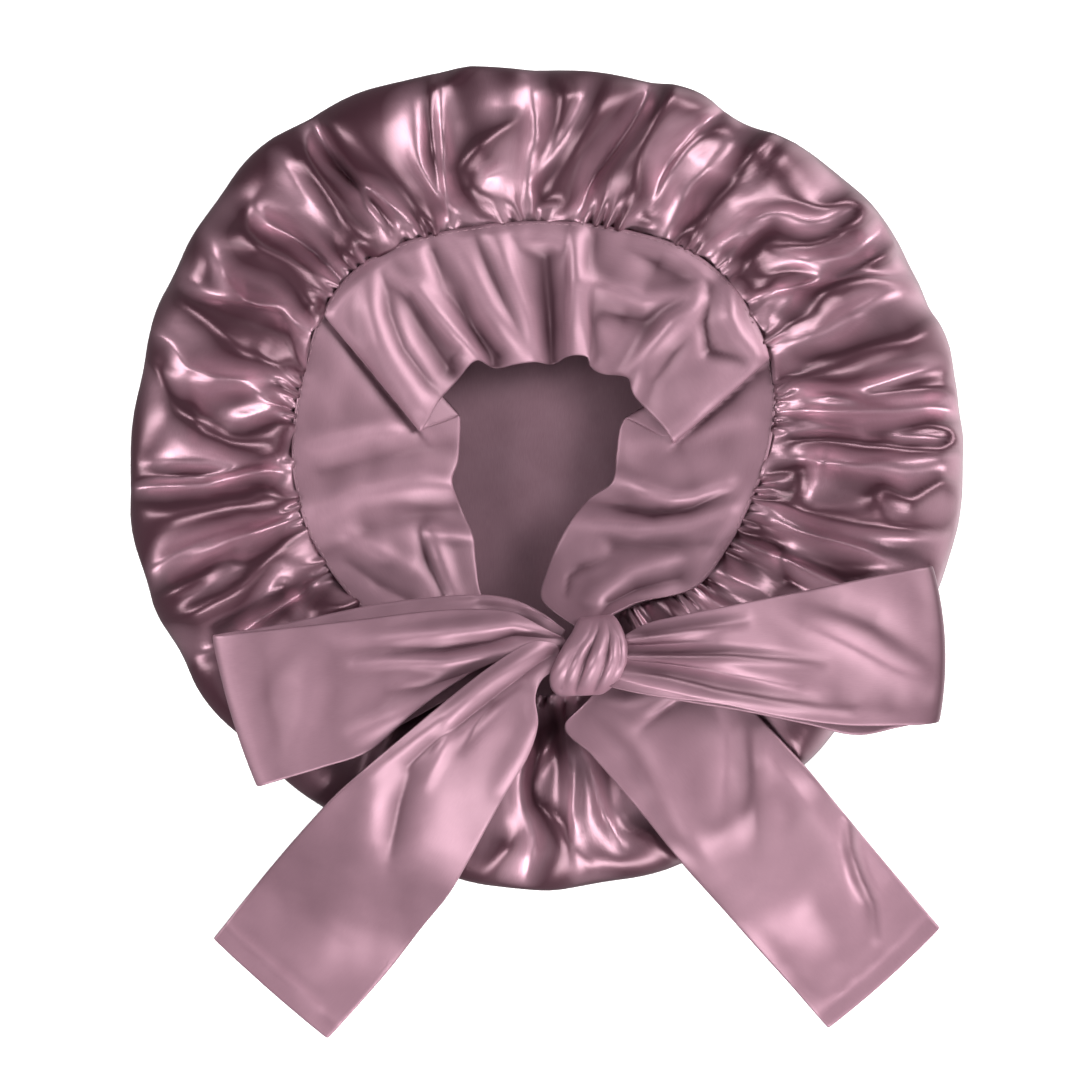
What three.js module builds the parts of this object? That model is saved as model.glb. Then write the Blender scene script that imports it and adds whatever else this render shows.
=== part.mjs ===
// Sleep bonnet: a round satin crown gathered onto a wide tie band. It lies on its crown with the
// opening up. The band is turned in over the opening like a collar, and its ends are tied in a bow.
// Millimetres and degrees. The origin is the crown's centre, on the surface that the crown lies on.
// +Z points up out of the opening, and +Y points from the bow to the back of the opening.
import * as THREE from "three";

const CROWN_WALL = 1.4;
const BAND_WALL = 1.8;
const BAND_SEAM_SETBACK = 1.8; // from the crown's gathered edge in to the band's sewn edge
const COLUMNS_PER_FOLD = 4;
const BAND_STRIPS = 5; // facets across the band's width
const LOOP_STRIPS = 8; // facets across a loop or a tail, which are rucked lengthways
const CREASE_SHARE = 0.35; // how far a crease sinks, as a share of the fold beside it

// The crown seen from above. seam and rim are distances from the centre to the gathered edge and to
// the outline, and top is how high the crown stands there: less where the bow presses on it.
const CROWN_OUTLINE = [
  { angle: 0, seam: 95, rim: 187, top: 45 },
  { angle: 18, seam: 107, rim: 188, top: 47 },
  { angle: 34, seam: 114, rim: 192, top: 47 },
  { angle: 52, seam: 118, rim: 189, top: 47 },
  { angle: 70, seam: 114, rim: 187, top: 47 },
  { angle: 90, seam: 112, rim: 185, top: 47 },
  { angle: 108, seam: 116, rim: 188, top: 47 },
  { angle: 126, seam: 124, rim: 193, top: 47 },
  { angle: 144, seam: 124, rim: 193, top: 47 },
  { angle: 162, seam: 117, rim: 189, top: 47 },
  { angle: 180, seam: 113, rim: 188, top: 46 },
  { angle: 198, seam: 108, rim: 188, top: 42 },
  { angle: 216, seam: 101, rim: 183, top: 39 },
  { angle: 234, seam: 100, rim: 181, top: 37 },
  { angle: 252, seam: 103, rim: 184, top: 37 },
  { angle: 270, seam: 108, rim: 186, top: 38 },
  { angle: 288, seam: 105, rim: 185, top: 37 },
  { angle: 306, seam: 96, rim: 178, top: 37 },
  { angle: 324, seam: 84, rim: 178, top: 38 },
  { angle: 342, seam: 86, rim: 183, top: 41 },
];

// A cut through the crown from the gathered edge over the top and round the rim to the flat
// underside. share runs from the seam, 0, to the rim, 1. height is a share of top, and swell the
// part of each fold's rise that shows there.
const CROWN_SECTION = [
  { share: 0.0, height: 0.86, swell: 0.15 },
  { share: 0.1, height: 0.93, swell: 0.75 },
  { share: 0.27, height: 0.99, swell: 1.0 },
  { share: 0.48, height: 1.0, swell: 1.0 },
  { share: 0.68, height: 0.94, swell: 0.85 },
  { share: 0.85, height: 0.79, swell: 0.6 },
  { share: 0.96, height: 0.57, swell: 0.35 },
  { share: 1.0, height: 0.38, swell: 0.2 },
  { share: 0.95, height: 0.17, swell: 0.1 },
  { share: 0.83, height: 0.04, swell: 0.0 },
  { share: 0.7, height: 0.0, swell: 0.0 },
  { share: 0.62, height: 0.0, swell: 0.0 },
];

// One row for each fold of the gathered top: the angles of the crease before it at the seam and at
// the rim, the rise of the fold between that crease and the next, and how far out it runs.
const CROWN_FOLDS = [
  { seam: 2, rim: 0, rise: 3.5, reach: 0.8 },
  { seam: 11, rim: 12, rise: 4.5, reach: 1.0 },
  { seam: 21, rim: 22, rise: 3.0, reach: 0.8 },
  { seam: 29, rim: 32, rise: 5.0, reach: 1.0 },
  { seam: 41, rim: 40, rise: 3.5, reach: 0.8 },
  { seam: 53, rim: 48, rise: 4.5, reach: 1.0 },
  { seam: 63, rim: 56, rise: 3.5, reach: 0.9 },
  { seam: 71, rim: 63, rise: 4.5, reach: 1.0 },
  { seam: 83, rim: 75, rise: 4.0, reach: 1.0 },
  { seam: 92, rim: 86, rise: 4.5, reach: 0.9 },
  { seam: 101, rim: 96, rise: 4.0, reach: 1.0 },
  { seam: 112, rim: 107, rise: 5.0, reach: 1.0 },
  { seam: 121, rim: 124, rise: 4.0, reach: 1.0 },
  { seam: 128, rim: 132, rise: 3.5, reach: 0.9 },
  { seam: 136, rim: 141, rise: 4.5, reach: 0.9 },
  { seam: 147, rim: 152, rise: 5.0, reach: 1.0 },
  { seam: 158, rim: 162, rise: 3.5, reach: 0.9 },
  { seam: 168, rim: 171, rise: 4.0, reach: 0.9 },
  { seam: 177, rim: 181, rise: 4.5, reach: 1.0 },
  { seam: 189, rim: 195, rise: 4.0, reach: 1.0 },
  { seam: 203, rim: 206, rise: 2.0, reach: 0.9 },
  { seam: 217, rim: 218, rise: 1.5, reach: 0.8 },
  { seam: 231, rim: 231, rise: 1.5, reach: 0.8 },
  { seam: 245, rim: 244, rise: 1.5, reach: 0.9 },
  { seam: 258, rim: 256, rise: 1.5, reach: 1.0 },
  { seam: 269, rim: 267, rise: 1.5, reach: 1.0 },
  { seam: 279, rim: 278, rise: 1.5, reach: 1.0 },
  { seam: 290, rim: 290, rise: 1.5, reach: 0.8 },
  { seam: 304, rim: 304, rise: 1.5, reach: 0.8 },
  { seam: 319, rim: 319, rise: 1.5, reach: 0.8 },
  { seam: 335, rim: 333, rise: 2.0, reach: 0.9 },
  { seam: 349, rim: 347, rise: 3.5, reach: 1.0 },
];

// The sewn part of the band, turned in over the opening. Each row is a line across the band: from a
// point on the seam, given by its angle, its setback from the crown's edge and its height, to a point
// on the free edge. arch is how far the middle stands above the straight line. The right side runs
// from the knot to the pleat, where it passes under the turned-in back, and so does the left side the
// other way round.
const COLLAR_RIGHT = [
  { seam: 293, setback: 35, seamZ: 50, edgeX: 7, edgeY: -65, edgeZ: 50, arch: 0.5 },
  { seam: 303, setback: 32, seamZ: 47, edgeX: 0, edgeY: -51, edgeZ: 44, arch: 2 },
  { seam: 322, setback: 7, seamZ: 41, edgeX: 2, edgeY: -38, edgeZ: 37, arch: 3 },
  { seam: 339, setback: BAND_SEAM_SETBACK, seamZ: 40, edgeX: 8, edgeY: -22, edgeZ: 34, arch: 1 },
  { seam: 351, setback: BAND_SEAM_SETBACK, seamZ: 40, edgeX: 19, edgeY: -8, edgeZ: 32, arch: 0 },
  { seam: 1, setback: BAND_SEAM_SETBACK, seamZ: 41, edgeX: 28, edgeY: 1, edgeZ: 33, arch: 3 },
  { seam: 12, setback: BAND_SEAM_SETBACK, seamZ: 41, edgeX: 30, edgeY: 13, edgeZ: 32, arch: 0.4 },
  { seam: 20, setback: BAND_SEAM_SETBACK, seamZ: 41, edgeX: 31, edgeY: 22, edgeZ: 32, arch: 0.4 },
  { seam: 27, setback: BAND_SEAM_SETBACK, seamZ: 40.5, edgeX: 35.5, edgeY: 25, edgeZ: 32, arch: 0.4 },
  { seam: 33, setback: BAND_SEAM_SETBACK, seamZ: 40, edgeX: 42, edgeY: 28.5, edgeZ: 32.5, arch: 0.4 },
];
const COLLAR_BACK = [
  { seam: 27.5, setback: BAND_SEAM_SETBACK + 1, seamZ: 44.8, edgeX: 55, edgeY: 14, edgeZ: 38.8, arch: 0 },
  { seam: 31, setback: BAND_SEAM_SETBACK + 1, seamZ: 46, edgeX: 52, edgeY: 18, edgeZ: 39.6, arch: 1 },
  { seam: 38, setback: BAND_SEAM_SETBACK, seamZ: 46, edgeX: 45, edgeY: 28, edgeZ: 38, arch: 1 },
  { seam: 47, setback: BAND_SEAM_SETBACK, seamZ: 45, edgeX: 37, edgeY: 39, edgeZ: 37, arch: 6 },
  { seam: 58, setback: BAND_SEAM_SETBACK, seamZ: 44, edgeX: 30, edgeY: 44, edgeZ: 32, arch: 1 },
  { seam: 72, setback: BAND_SEAM_SETBACK, seamZ: 44, edgeX: 18, edgeY: 46, edgeZ: 28, arch: 2 },
  { seam: 81, setback: BAND_SEAM_SETBACK, seamZ: 43, edgeX: 17.5, edgeY: 50, edgeZ: 27.5, arch: 2 },
  { seam: 83.5, setback: BAND_SEAM_SETBACK, seamZ: 45, edgeX: 16.5, edgeY: 53, edgeZ: 30.5, arch: 5 },
  { seam: 87, setback: BAND_SEAM_SETBACK, seamZ: 44, edgeX: 10, edgeY: 52.5, edgeZ: 28, arch: 4 },
  { seam: 94, setback: BAND_SEAM_SETBACK, seamZ: 43, edgeX: 2, edgeY: 50, edgeZ: 24, arch: 1 },
  { seam: 102, setback: BAND_SEAM_SETBACK, seamZ: 44, edgeX: -6, edgeY: 51, edgeZ: 29, arch: 6 },
  { seam: 109, setback: BAND_SEAM_SETBACK, seamZ: 44, edgeX: -15, edgeY: 49.5, edgeZ: 28, arch: 4 },
  { seam: 116, setback: BAND_SEAM_SETBACK, seamZ: 43, edgeX: -25, edgeY: 48, edgeZ: 26, arch: 1 },
  { seam: 121, setback: BAND_SEAM_SETBACK, seamZ: 45, edgeX: -33, edgeY: 51, edgeZ: 34, arch: 6 },
  { seam: 126, setback: BAND_SEAM_SETBACK, seamZ: 44, edgeX: -42, edgeY: 42, edgeZ: 35, arch: 1 },
  { seam: 131, setback: BAND_SEAM_SETBACK, seamZ: 46, edgeX: -50, edgeY: 29.5, edgeZ: 40, arch: 6 },
  { seam: 139, setback: BAND_SEAM_SETBACK + 1, seamZ: 46, edgeX: -55, edgeY: 22, edgeZ: 40, arch: 2 },
  { seam: 144, setback: BAND_SEAM_SETBACK + 1, seamZ: 44.8, edgeX: -56, edgeY: 19.5, edgeZ: 38.2, arch: 0 },
];
const COLLAR_LEFT = [
  { seam: 138, setback: BAND_SEAM_SETBACK, seamZ: 40, edgeX: -47, edgeY: 32.5, edgeZ: 32.5, arch: 0.4 },
  { seam: 144, setback: BAND_SEAM_SETBACK, seamZ: 40.5, edgeX: -41, edgeY: 28, edgeZ: 32, arch: 0.4 },
  { seam: 151, setback: BAND_SEAM_SETBACK, seamZ: 41, edgeX: -39.5, edgeY: 21, edgeZ: 32, arch: 0.4 },
  { seam: 158, setback: BAND_SEAM_SETBACK, seamZ: 41, edgeX: -40, edgeY: 11, edgeZ: 32, arch: 1 },
  { seam: 169, setback: BAND_SEAM_SETBACK, seamZ: 41, edgeX: -41, edgeY: 0, edgeZ: 33, arch: 2 },
  { seam: 180, setback: BAND_SEAM_SETBACK, seamZ: 41, edgeX: -37, edgeY: -13, edgeZ: 32, arch: 1 },
  { seam: 191, setback: BAND_SEAM_SETBACK, seamZ: 40, edgeX: -33, edgeY: -26, edgeZ: 33, arch: 3 },
  { seam: 203, setback: BAND_SEAM_SETBACK, seamZ: 38, edgeX: -32, edgeY: -40, edgeZ: 35, arch: 1 },
  { seam: 215, setback: BAND_SEAM_SETBACK, seamZ: 36, edgeX: -29, edgeY: -53, edgeZ: 37, arch: 1 },
  { seam: 229, setback: BAND_SEAM_SETBACK + 2, seamZ: 38, edgeX: -21, edgeY: -63, edgeZ: 40, arch: 0 },
  { seam: 243, setback: BAND_SEAM_SETBACK + 5, seamZ: 41, edgeX: -14, edgeY: -70, edgeZ: 42, arch: 0 },
  { seam: 255, setback: BAND_SEAM_SETBACK + 9, seamZ: 43, edgeX: -4, edgeY: -79, edgeZ: 45, arch: 0 },
];

// The loops, from the knot out to the fold at the end. Each row is a line across the band, from its
// upper to its lower edge, with the heights of the layer underneath and of the layer on top.
// ruck is the depth of the lengthways folds that the knot pulls in.
const LEFT_LOOP = [
  { upperX: -6.5, upperY: -65, lowerX: -9, lowerY: -82, back: 53, front: 60, ruck: 1.0 },
  { upperX: -24, upperY: -58, lowerX: -30, lowerY: -98, back: 48, front: 61, ruck: 2.4 },
  { upperX: -48, upperY: -54, lowerX: -54, lowerY: -112, back: 46, front: 57.5, ruck: 2.0 },
  { upperX: -76, upperY: -57, lowerX: -78, lowerY: -122, back: 45, front: 55, ruck: 1.2 },
  { upperX: -108, upperY: -63, lowerX: -103, lowerY: -129, back: 45, front: 54, ruck: 0.5 },
  { upperX: -140, upperY: -68.5, lowerX: -122, lowerY: -134, back: 45, front: 53, ruck: 0 },
];
const RIGHT_LOOP = [
  { upperX: 34.5, upperY: -71, lowerX: 34.5, lowerY: -91, back: 54, front: 66, ruck: 1.4 },
  { upperX: 53, upperY: -61.5, lowerX: 53, lowerY: -96, back: 50, front: 66, ruck: 3.2 },
  { upperX: 82, upperY: -54.5, lowerX: 80, lowerY: -101, back: 48, front: 63, ruck: 2.8 },
  { upperX: 110, upperY: -49, lowerX: 108, lowerY: -105, back: 47, front: 59, ruck: 1.4 },
  { upperX: 138, upperY: -44.5, lowerX: 138, lowerY: -107.5, back: 47, front: 56, ruck: 0.6 },
  { upperX: 162, upperY: -40.5, lowerX: 166, lowerY: -107.5, back: 47, front: 55, ruck: 0 },
];

// The tails, from the knot to the cut end. lift is the height above the drape, which is how cloth
// lies over the crown and then down on the surface beside it.
const LEFT_TAIL = [
  { upperX: -7, upperY: -78, lowerX: -5, lowerY: -95, lift: 24, ruck: 1.0 },
  { upperX: -26, upperY: -90, lowerX: -6, lowerY: -110, lift: 26, ruck: 2.0 },
  { upperX: -46, upperY: -102, lowerX: -12, lowerY: -128, lift: 23, ruck: 1.8 },
  { upperX: -68, upperY: -118, lowerX: -23, lowerY: -148, lift: 18, ruck: 1.2 },
  { upperX: -88, upperY: -138, lowerX: -36, lowerY: -174, lift: 4, ruck: 0.8 },
  { upperX: -106, upperY: -157, lowerX: -49, lowerY: -196, lift: 0, ruck: 0.6 },
  { upperX: -123, upperY: -176, lowerX: -68, lowerY: -219, lift: 0, ruck: 0.4 },
  { upperX: -138, upperY: -193, lowerX: -84, lowerY: -238, lift: 0, ruck: 0.2 },
  { upperX: -151, upperY: -207, lowerX: -99, lowerY: -252, lift: 0, ruck: 0 },
];
const RIGHT_TAIL = [
  { upperX: 34, upperY: -82, lowerX: 22, lowerY: -90, lift: 2.5, ruck: 0.3 },
  { upperX: 48, upperY: -74, lowerX: 7, lowerY: -106, lift: 1.5, ruck: 0.4 },
  { upperX: 72, upperY: -79, lowerX: 20, lowerY: -122, lift: 0.8, ruck: 0.6 },
  { upperX: 92, upperY: -103, lowerX: 40, lowerY: -147, lift: 0.4, ruck: 0.8 },
  { upperX: 110, upperY: -125, lowerX: 58, lowerY: -168, lift: 0, ruck: 0.8 },
  { upperX: 127, upperY: -145, lowerX: 76, lowerY: -189, lift: 0, ruck: 0.4 },
  { upperX: 145, upperY: -166, lowerX: 94, lowerY: -210, lift: 0, ruck: 0.3 },
  { upperX: 161, upperY: -185, lowerX: 110, lowerY: -229, lift: 0, ruck: 0.2 },
  { upperX: 176, upperY: -202, lowerX: 126, lowerY: -247, lift: 0, ruck: 0 },
];
const DRAPE = [
  { radius: 0, height: 42 },
  { radius: 160, height: 42 },
  { radius: 172, height: 41 },
  { radius: 183, height: 37 },
  { radius: 192, height: 30 },
  { radius: 204, height: 20 },
  { radius: 218, height: 10 },
  { radius: 234, height: 3.5 },
  { radius: 250, height: 1.3 },
  { radius: 300, height: 1.3 },
];

// The knot is a barrel of wound cloth lying across the band, with a ridge for each turn.
const KNOT = {
  centre: new THREE.Vector3(14, -78.5, 63),
  turn: -19, // of its axis from +X towards +Y
  halfLength: 19,
  halfWidth: 16.5,
  halfHeight: 13.5,
  ridges: 4,
  ridgeDepth: 0.07, // as a share of the radius
  slices: 18,
  facets: 24,
};

const radians = THREE.MathUtils.degToRad;

// A smooth closed curve through the values of one column of a table, at place t between its rows.
function between(rows, column, t) {
  const count = rows.length;
  const row = Math.floor(t);
  const f = t - row;
  const at = (i) => rows[((i % count) + count) % count][column];
  const [a, b, c, d] = [at(row - 1), at(row), at(row + 1), at(row + 2)];
  return b + 0.5 * f * (c - a + f * (2 * a - 5 * b + 4 * c - d + f * (3 * (b - c) + d - a)));
}

// The crown's outline at an angle. The rows are evenly spaced round the circle.
function outlineAt(angle) {
  const t = ((((angle % 360) + 360) % 360) / 360) * CROWN_OUTLINE.length;
  return {
    seam: between(CROWN_OUTLINE, "seam", t),
    rim: between(CROWN_OUTLINE, "rim", t),
    top: between(CROWN_OUTLINE, "top", t),
  };
}

// A closed solid from a sheet of points, given as rows of equal length: the sheet gets half its
// thickness on each side. closed joins each row's end to its start, and pole closes the last row.
function sheetSolid(rows, thickness, closed = false, pole = null) {
  const across = rows[0].length;
  const points = rows.flat();
  if (pole) points.push(pole);
  const faces = [];
  for (let i = 0; i + 1 < rows.length; i++) {
    for (let j = 0; j < (closed ? across : across - 1); j++) {
      const k = (j + 1) % across;
      const [a, b] = [i * across + j, i * across + k];
      const [c, d] = [a + across, b + across];
      faces.push([a, c, d], [a, d, b]);
    }
  }
  const last = (rows.length - 1) * across;
  if (pole) {
    for (let j = 0; j < across; j++) faces.push([last + j, points.length - 1, last + ((j + 1) % across)]);
  }
  const normals = points.map(() => new THREE.Vector3());
  const [ab, ac] = [new THREE.Vector3(), new THREE.Vector3()];
  for (const [a, b, c] of faces) {
    ab.subVectors(points[b], points[a]);
    ac.subVectors(points[c], points[a]);
    ab.cross(ac);
    for (const corner of [a, b, c]) normals[corner].add(ab);
  }
  const count = points.length;
  const positions = new Float32Array(6 * count);
  points.forEach((p, i) => {
    const n = normals[i].normalize();
    p.clone().addScaledVector(n, thickness / 2).toArray(positions, 3 * i);
    p.clone().addScaledVector(n, -thickness / 2).toArray(positions, 3 * (count + i));
  });
  const index = [];
  for (const [a, b, c] of faces) index.push(a, b, c, count + a, count + c, count + b);
  // The rim of the sheet, one way round, and a strip of wall from its one side to its other.
  const rim = [];
  const firstRow = [...Array(across).keys()];
  if (closed) {
    rim.push([...firstRow, 0]);
    if (!pole) rim.push([...firstRow, 0].map((j) => last + j).reverse());
  } else {
    const rightSide = rows.map((_, i) => i * across + across - 1);
    const leftSide = rows.map((_, i) => i * across).reverse();
    rim.push(firstRow, rightSide, firstRow.map((j) => last + j).reverse(), leftSide);
  }
  for (const side of rim) {
    for (let i = 0; i + 1 < side.length; i++) {
      const [a, b] = [side[i], side[i + 1]];
      index.push(a, b, count + b, a, count + b, count + a);
    }
  }
  return new THREE.BufferGeometry()
    .setAttribute("position", new THREE.BufferAttribute(positions, 3))
    .setIndex(outward(index, positions));
}

// The faces turned round if they enclose a negative volume, so that they point out.
function outward(index, positions) {
  const corner = (i) => new THREE.Vector3().fromArray(positions, 3 * index[i]);
  let volume = 0;
  for (let i = 0; i < index.length; i += 3) volume += corner(i).dot(corner(i + 1).cross(corner(i + 2)));
  if (volume < 0) {
    for (let i = 0; i < index.length; i += 3) [index[i + 1], index[i + 2]] = [index[i + 2], index[i + 1]];
  }
  return index;
}

// The crown's wall: each row goes once round, with its columns on the folds and their creases.
function crownGeometry() {
  const count = CROWN_FOLDS.length;
  const rows = CROWN_SECTION.map((section, i) => {
    const inner = CROWN_SECTION[Math.max(i - 1, 0)];
    const outer = CROWN_SECTION[Math.min(i + 1, CROWN_SECTION.length - 1)];
    const row = [];
    for (let column = 0; column < count * COLUMNS_PER_FOLD; column++) {
      const place = column / COLUMNS_PER_FOLD;
      const fold = CROWN_FOLDS[Math.floor(place)];
      const next = CROWN_FOLDS[(Math.floor(place) + 1) % count];
      const wrap = next.seam < fold.seam ? 360 : 0;
      const f = place % 1;
      const seamAngle = fold.seam + (next.seam + wrap - fold.seam) * f;
      const rimAngle = fold.rim + (next.rim + wrap - fold.rim) * f;
      const angle = seamAngle + (rimAngle - seamAngle) * Math.min(section.share, 1);
      const outline = outlineAt(angle);
      const fade = section.share <= fold.reach ? 1 : 1 - (section.share - fold.reach) / 0.3;
      const rise = fold.rise * section.swell * Math.max(fade, 0.3);
      const swell = rise * ((1 + CREASE_SHARE) * Math.sin(Math.PI * f) - CREASE_SHARE);
      const width = outline.rim - outline.seam;
      // The way out of the crown at this height, square to the cut through it.
      const out = new THREE.Vector2(
        (inner.height - outer.height) * outline.top,
        (outer.share - inner.share) * width,
      ).normalize();
      const radius = outline.seam + section.share * width + out.x * swell;
      const height = CROWN_WALL / 2 + section.height * outline.top + out.y * swell;
      row.push(
        new THREE.Vector3(
          radius * Math.cos(radians(angle)),
          radius * Math.sin(radians(angle)),
          Math.max(height, CROWN_WALL / 2),
        ),
      );
    }
    return row;
  });
  return sheetSolid(rows, CROWN_WALL, true, new THREE.Vector3(0, 0, CROWN_WALL / 2));
}

// A stretch of the sewn part of the band: its lines, each from the seam to the free edge.
function collarGeometry(lines) {
  const rows = lines.map((line) => {
    const radius = outlineAt(line.seam).seam - line.setback;
    const start = new THREE.Vector3(
      radius * Math.cos(radians(line.seam)),
      radius * Math.sin(radians(line.seam)),
      line.seamZ,
    );
    const end = new THREE.Vector3(line.edgeX, line.edgeY, line.edgeZ);
    const row = [];
    for (let j = 0; j <= BAND_STRIPS; j++) {
      const v = j / BAND_STRIPS;
      const point = start.clone().lerp(end, v);
      point.z += line.arch * Math.sin(Math.PI * v);
      row.push(point);
    }
    return row;
  });
  return sheetSolid(rows, BAND_WALL);
}

// A line across a loop or a tail, rucked into three lengthways folds.
function ruckedLine(upper, lower, ruck) {
  const row = [];
  for (let j = 0; j <= LOOP_STRIPS; j++) {
    const v = j / LOOP_STRIPS;
    const point = upper.clone().lerp(lower, v);
    point.z += ruck * Math.cos(2 * Math.PI * 2 * v);
    row.push(point);
  }
  return row;
}

// A loop: its lower layer out from the knot, round the fold at the end, and its upper layer back.
function loopGeometry(table) {
  const line = (row, height, lean, ruck) =>
    ruckedLine(
      new THREE.Vector3(row.upperX, row.upperY, height).addScaledVector(lean.upper, lean.by),
      new THREE.Vector3(row.lowerX, row.lowerY, height).addScaledVector(lean.lower, lean.by),
      ruck,
    );
  const [before, end] = table.slice(-2);
  const lean = {
    upper: new THREE.Vector3(end.upperX - before.upperX, end.upperY - before.upperY, 0).normalize(),
    lower: new THREE.Vector3(end.lowerX - before.lowerX, end.lowerY - before.lowerY, 0).normalize(),
    by: 0,
  };
  const rows = table.map((row) => line(row, row.back, lean, 0.5 * row.ruck));
  const radius = (end.front - end.back) / 2;
  for (const turn of [45, 90, 135]) {
    const reach = { ...lean, by: radius * Math.sin(radians(turn)) };
    rows.push(line(end, end.back + radius * (1 - Math.cos(radians(turn))), reach, 0));
  }
  rows.push(...[...table].reverse().map((row) => line(row, row.front, lean, row.ruck)));
  return sheetSolid(rows, BAND_WALL);
}

// How high cloth lies at a distance from the crown's centre.
function drapeAt(x, y) {
  const radius = Math.hypot(x, y);
  const i = DRAPE.findIndex((row, k) => k > 0 && radius < row.radius) - 1;
  const share = (radius - DRAPE[i].radius) / (DRAPE[i + 1].radius - DRAPE[i].radius);
  return THREE.MathUtils.lerp(DRAPE[i].height, DRAPE[i + 1].height, share);
}

function tailGeometry(table) {
  const rows = table.map((row) => {
    const upper = new THREE.Vector3(row.upperX, row.upperY, 0);
    const lower = new THREE.Vector3(row.lowerX, row.lowerY, 0);
    const line = ruckedLine(upper, lower, row.ruck);
    for (const point of line) point.z += drapeAt(point.x, point.y) + row.lift;
    return line;
  });
  return sheetSolid(rows, BAND_WALL);
}

function knotGeometry() {
  const profile = [];
  for (let i = 1; i < KNOT.slices; i++) {
    const t = -Math.cos((Math.PI * i) / KNOT.slices);
    const round = (1 - Math.abs(t) ** 3) ** 0.5;
    const ridge = 1 - KNOT.ridgeDepth * Math.cos(Math.PI * KNOT.ridges * (t + 1)) ** 2;
    profile.push({ t, radius: round * ridge });
  }
  const positions = [-1, 0, 0, 1, 0, 0];
  const index = [];
  profile.forEach(({ t, radius }, i) => {
    for (let j = 0; j < KNOT.facets; j++) {
      const around = (2 * Math.PI * j) / KNOT.facets;
      positions.push(t, radius * Math.cos(around), radius * Math.sin(around));
      const k = (j + 1) % KNOT.facets;
      const [a, b] = [2 + i * KNOT.facets + j, 2 + i * KNOT.facets + k];
      if (i === 0) index.push(0, b, a);
      if (i === profile.length - 1) index.push(1, a, b);
      else index.push(a, b, b + KNOT.facets, a, b + KNOT.facets, a + KNOT.facets);
    }
  });
  return new THREE.BufferGeometry()
    .setAttribute("position", new THREE.BufferAttribute(new Float32Array(positions), 3))
    .setIndex(outward(index, positions));
}

const crownSatin = new THREE.MeshStandardMaterial({ color: 0x875a69, roughness: 0.32, metalness: 0.35 });
const bandSatin = new THREE.MeshStandardMaterial({ color: 0xa07686, roughness: 0.5, metalness: 0.1 });

function piece(name, geometry, material) {
  const mesh = new THREE.Mesh(geometry, material);
  mesh.name = name;
  return mesh;
}

const bonnet = new THREE.Group();
bonnet.add(piece("crown", crownGeometry(), crownSatin));
bonnet.add(piece("collar_back", collarGeometry(COLLAR_BACK), bandSatin));
bonnet.add(piece("collar_left", collarGeometry(COLLAR_LEFT), bandSatin));
bonnet.add(piece("collar_right", collarGeometry(COLLAR_RIGHT), bandSatin));
bonnet.add(piece("bow_loop_left", loopGeometry(LEFT_LOOP), bandSatin));
bonnet.add(piece("bow_loop_right", loopGeometry(RIGHT_LOOP), bandSatin));
bonnet.add(piece("bow_tail_left", tailGeometry(LEFT_TAIL), bandSatin));
bonnet.add(piece("bow_tail_right", tailGeometry(RIGHT_TAIL), bandSatin));

const knot = piece("bow_knot", knotGeometry(), bandSatin);
knot.position.copy(KNOT.centre);
knot.rotation.z = radians(KNOT.turn);
knot.scale.set(KNOT.halfLength, KNOT.halfWidth, KNOT.halfHeight);
bonnet.add(knot);

export default bonnet;
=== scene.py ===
"""A satin sleep bonnet, lying on its crown with its wide band tied in a bow.

Metres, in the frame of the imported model: +Z up out of the opening, +Y from the bow to the back.
"""

import math

import bpy
import numpy as np
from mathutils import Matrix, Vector
from mathutils.bvhtree import BVHTree


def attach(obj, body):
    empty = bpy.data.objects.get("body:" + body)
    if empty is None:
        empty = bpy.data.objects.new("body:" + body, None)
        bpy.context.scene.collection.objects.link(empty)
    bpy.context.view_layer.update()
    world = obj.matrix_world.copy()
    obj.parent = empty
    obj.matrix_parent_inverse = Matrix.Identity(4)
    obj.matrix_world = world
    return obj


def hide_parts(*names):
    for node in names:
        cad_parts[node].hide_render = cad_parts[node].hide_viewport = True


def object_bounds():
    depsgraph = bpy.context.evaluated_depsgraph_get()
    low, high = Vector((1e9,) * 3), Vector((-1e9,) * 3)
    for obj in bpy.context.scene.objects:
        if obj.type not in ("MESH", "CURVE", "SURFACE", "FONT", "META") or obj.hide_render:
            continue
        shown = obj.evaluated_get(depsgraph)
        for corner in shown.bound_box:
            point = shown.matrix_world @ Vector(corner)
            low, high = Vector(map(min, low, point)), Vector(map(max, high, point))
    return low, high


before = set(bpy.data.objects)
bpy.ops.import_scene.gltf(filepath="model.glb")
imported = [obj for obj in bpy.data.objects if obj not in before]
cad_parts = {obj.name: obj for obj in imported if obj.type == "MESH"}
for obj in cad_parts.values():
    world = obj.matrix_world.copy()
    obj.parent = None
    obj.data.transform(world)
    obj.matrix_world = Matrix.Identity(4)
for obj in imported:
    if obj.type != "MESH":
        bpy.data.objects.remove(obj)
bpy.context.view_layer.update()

MM = 0.001
BODY = "root"

# ---------------------------------------------------------------- curves and cloth meshes


def columns(table, *names):
    """The named columns of a table whose first row holds the names, as an array with a row each."""
    places = [table[0].index(name) for name in names]
    return np.array([[row[i] for i in places] for row in table[1:]], float)


def smooth(rows, places, count):
    """count points evenly along a smooth curve that meets rows at places, which only rise."""
    return smooth_at(rows, places, np.linspace(places[0], places[-1], count))


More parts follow.
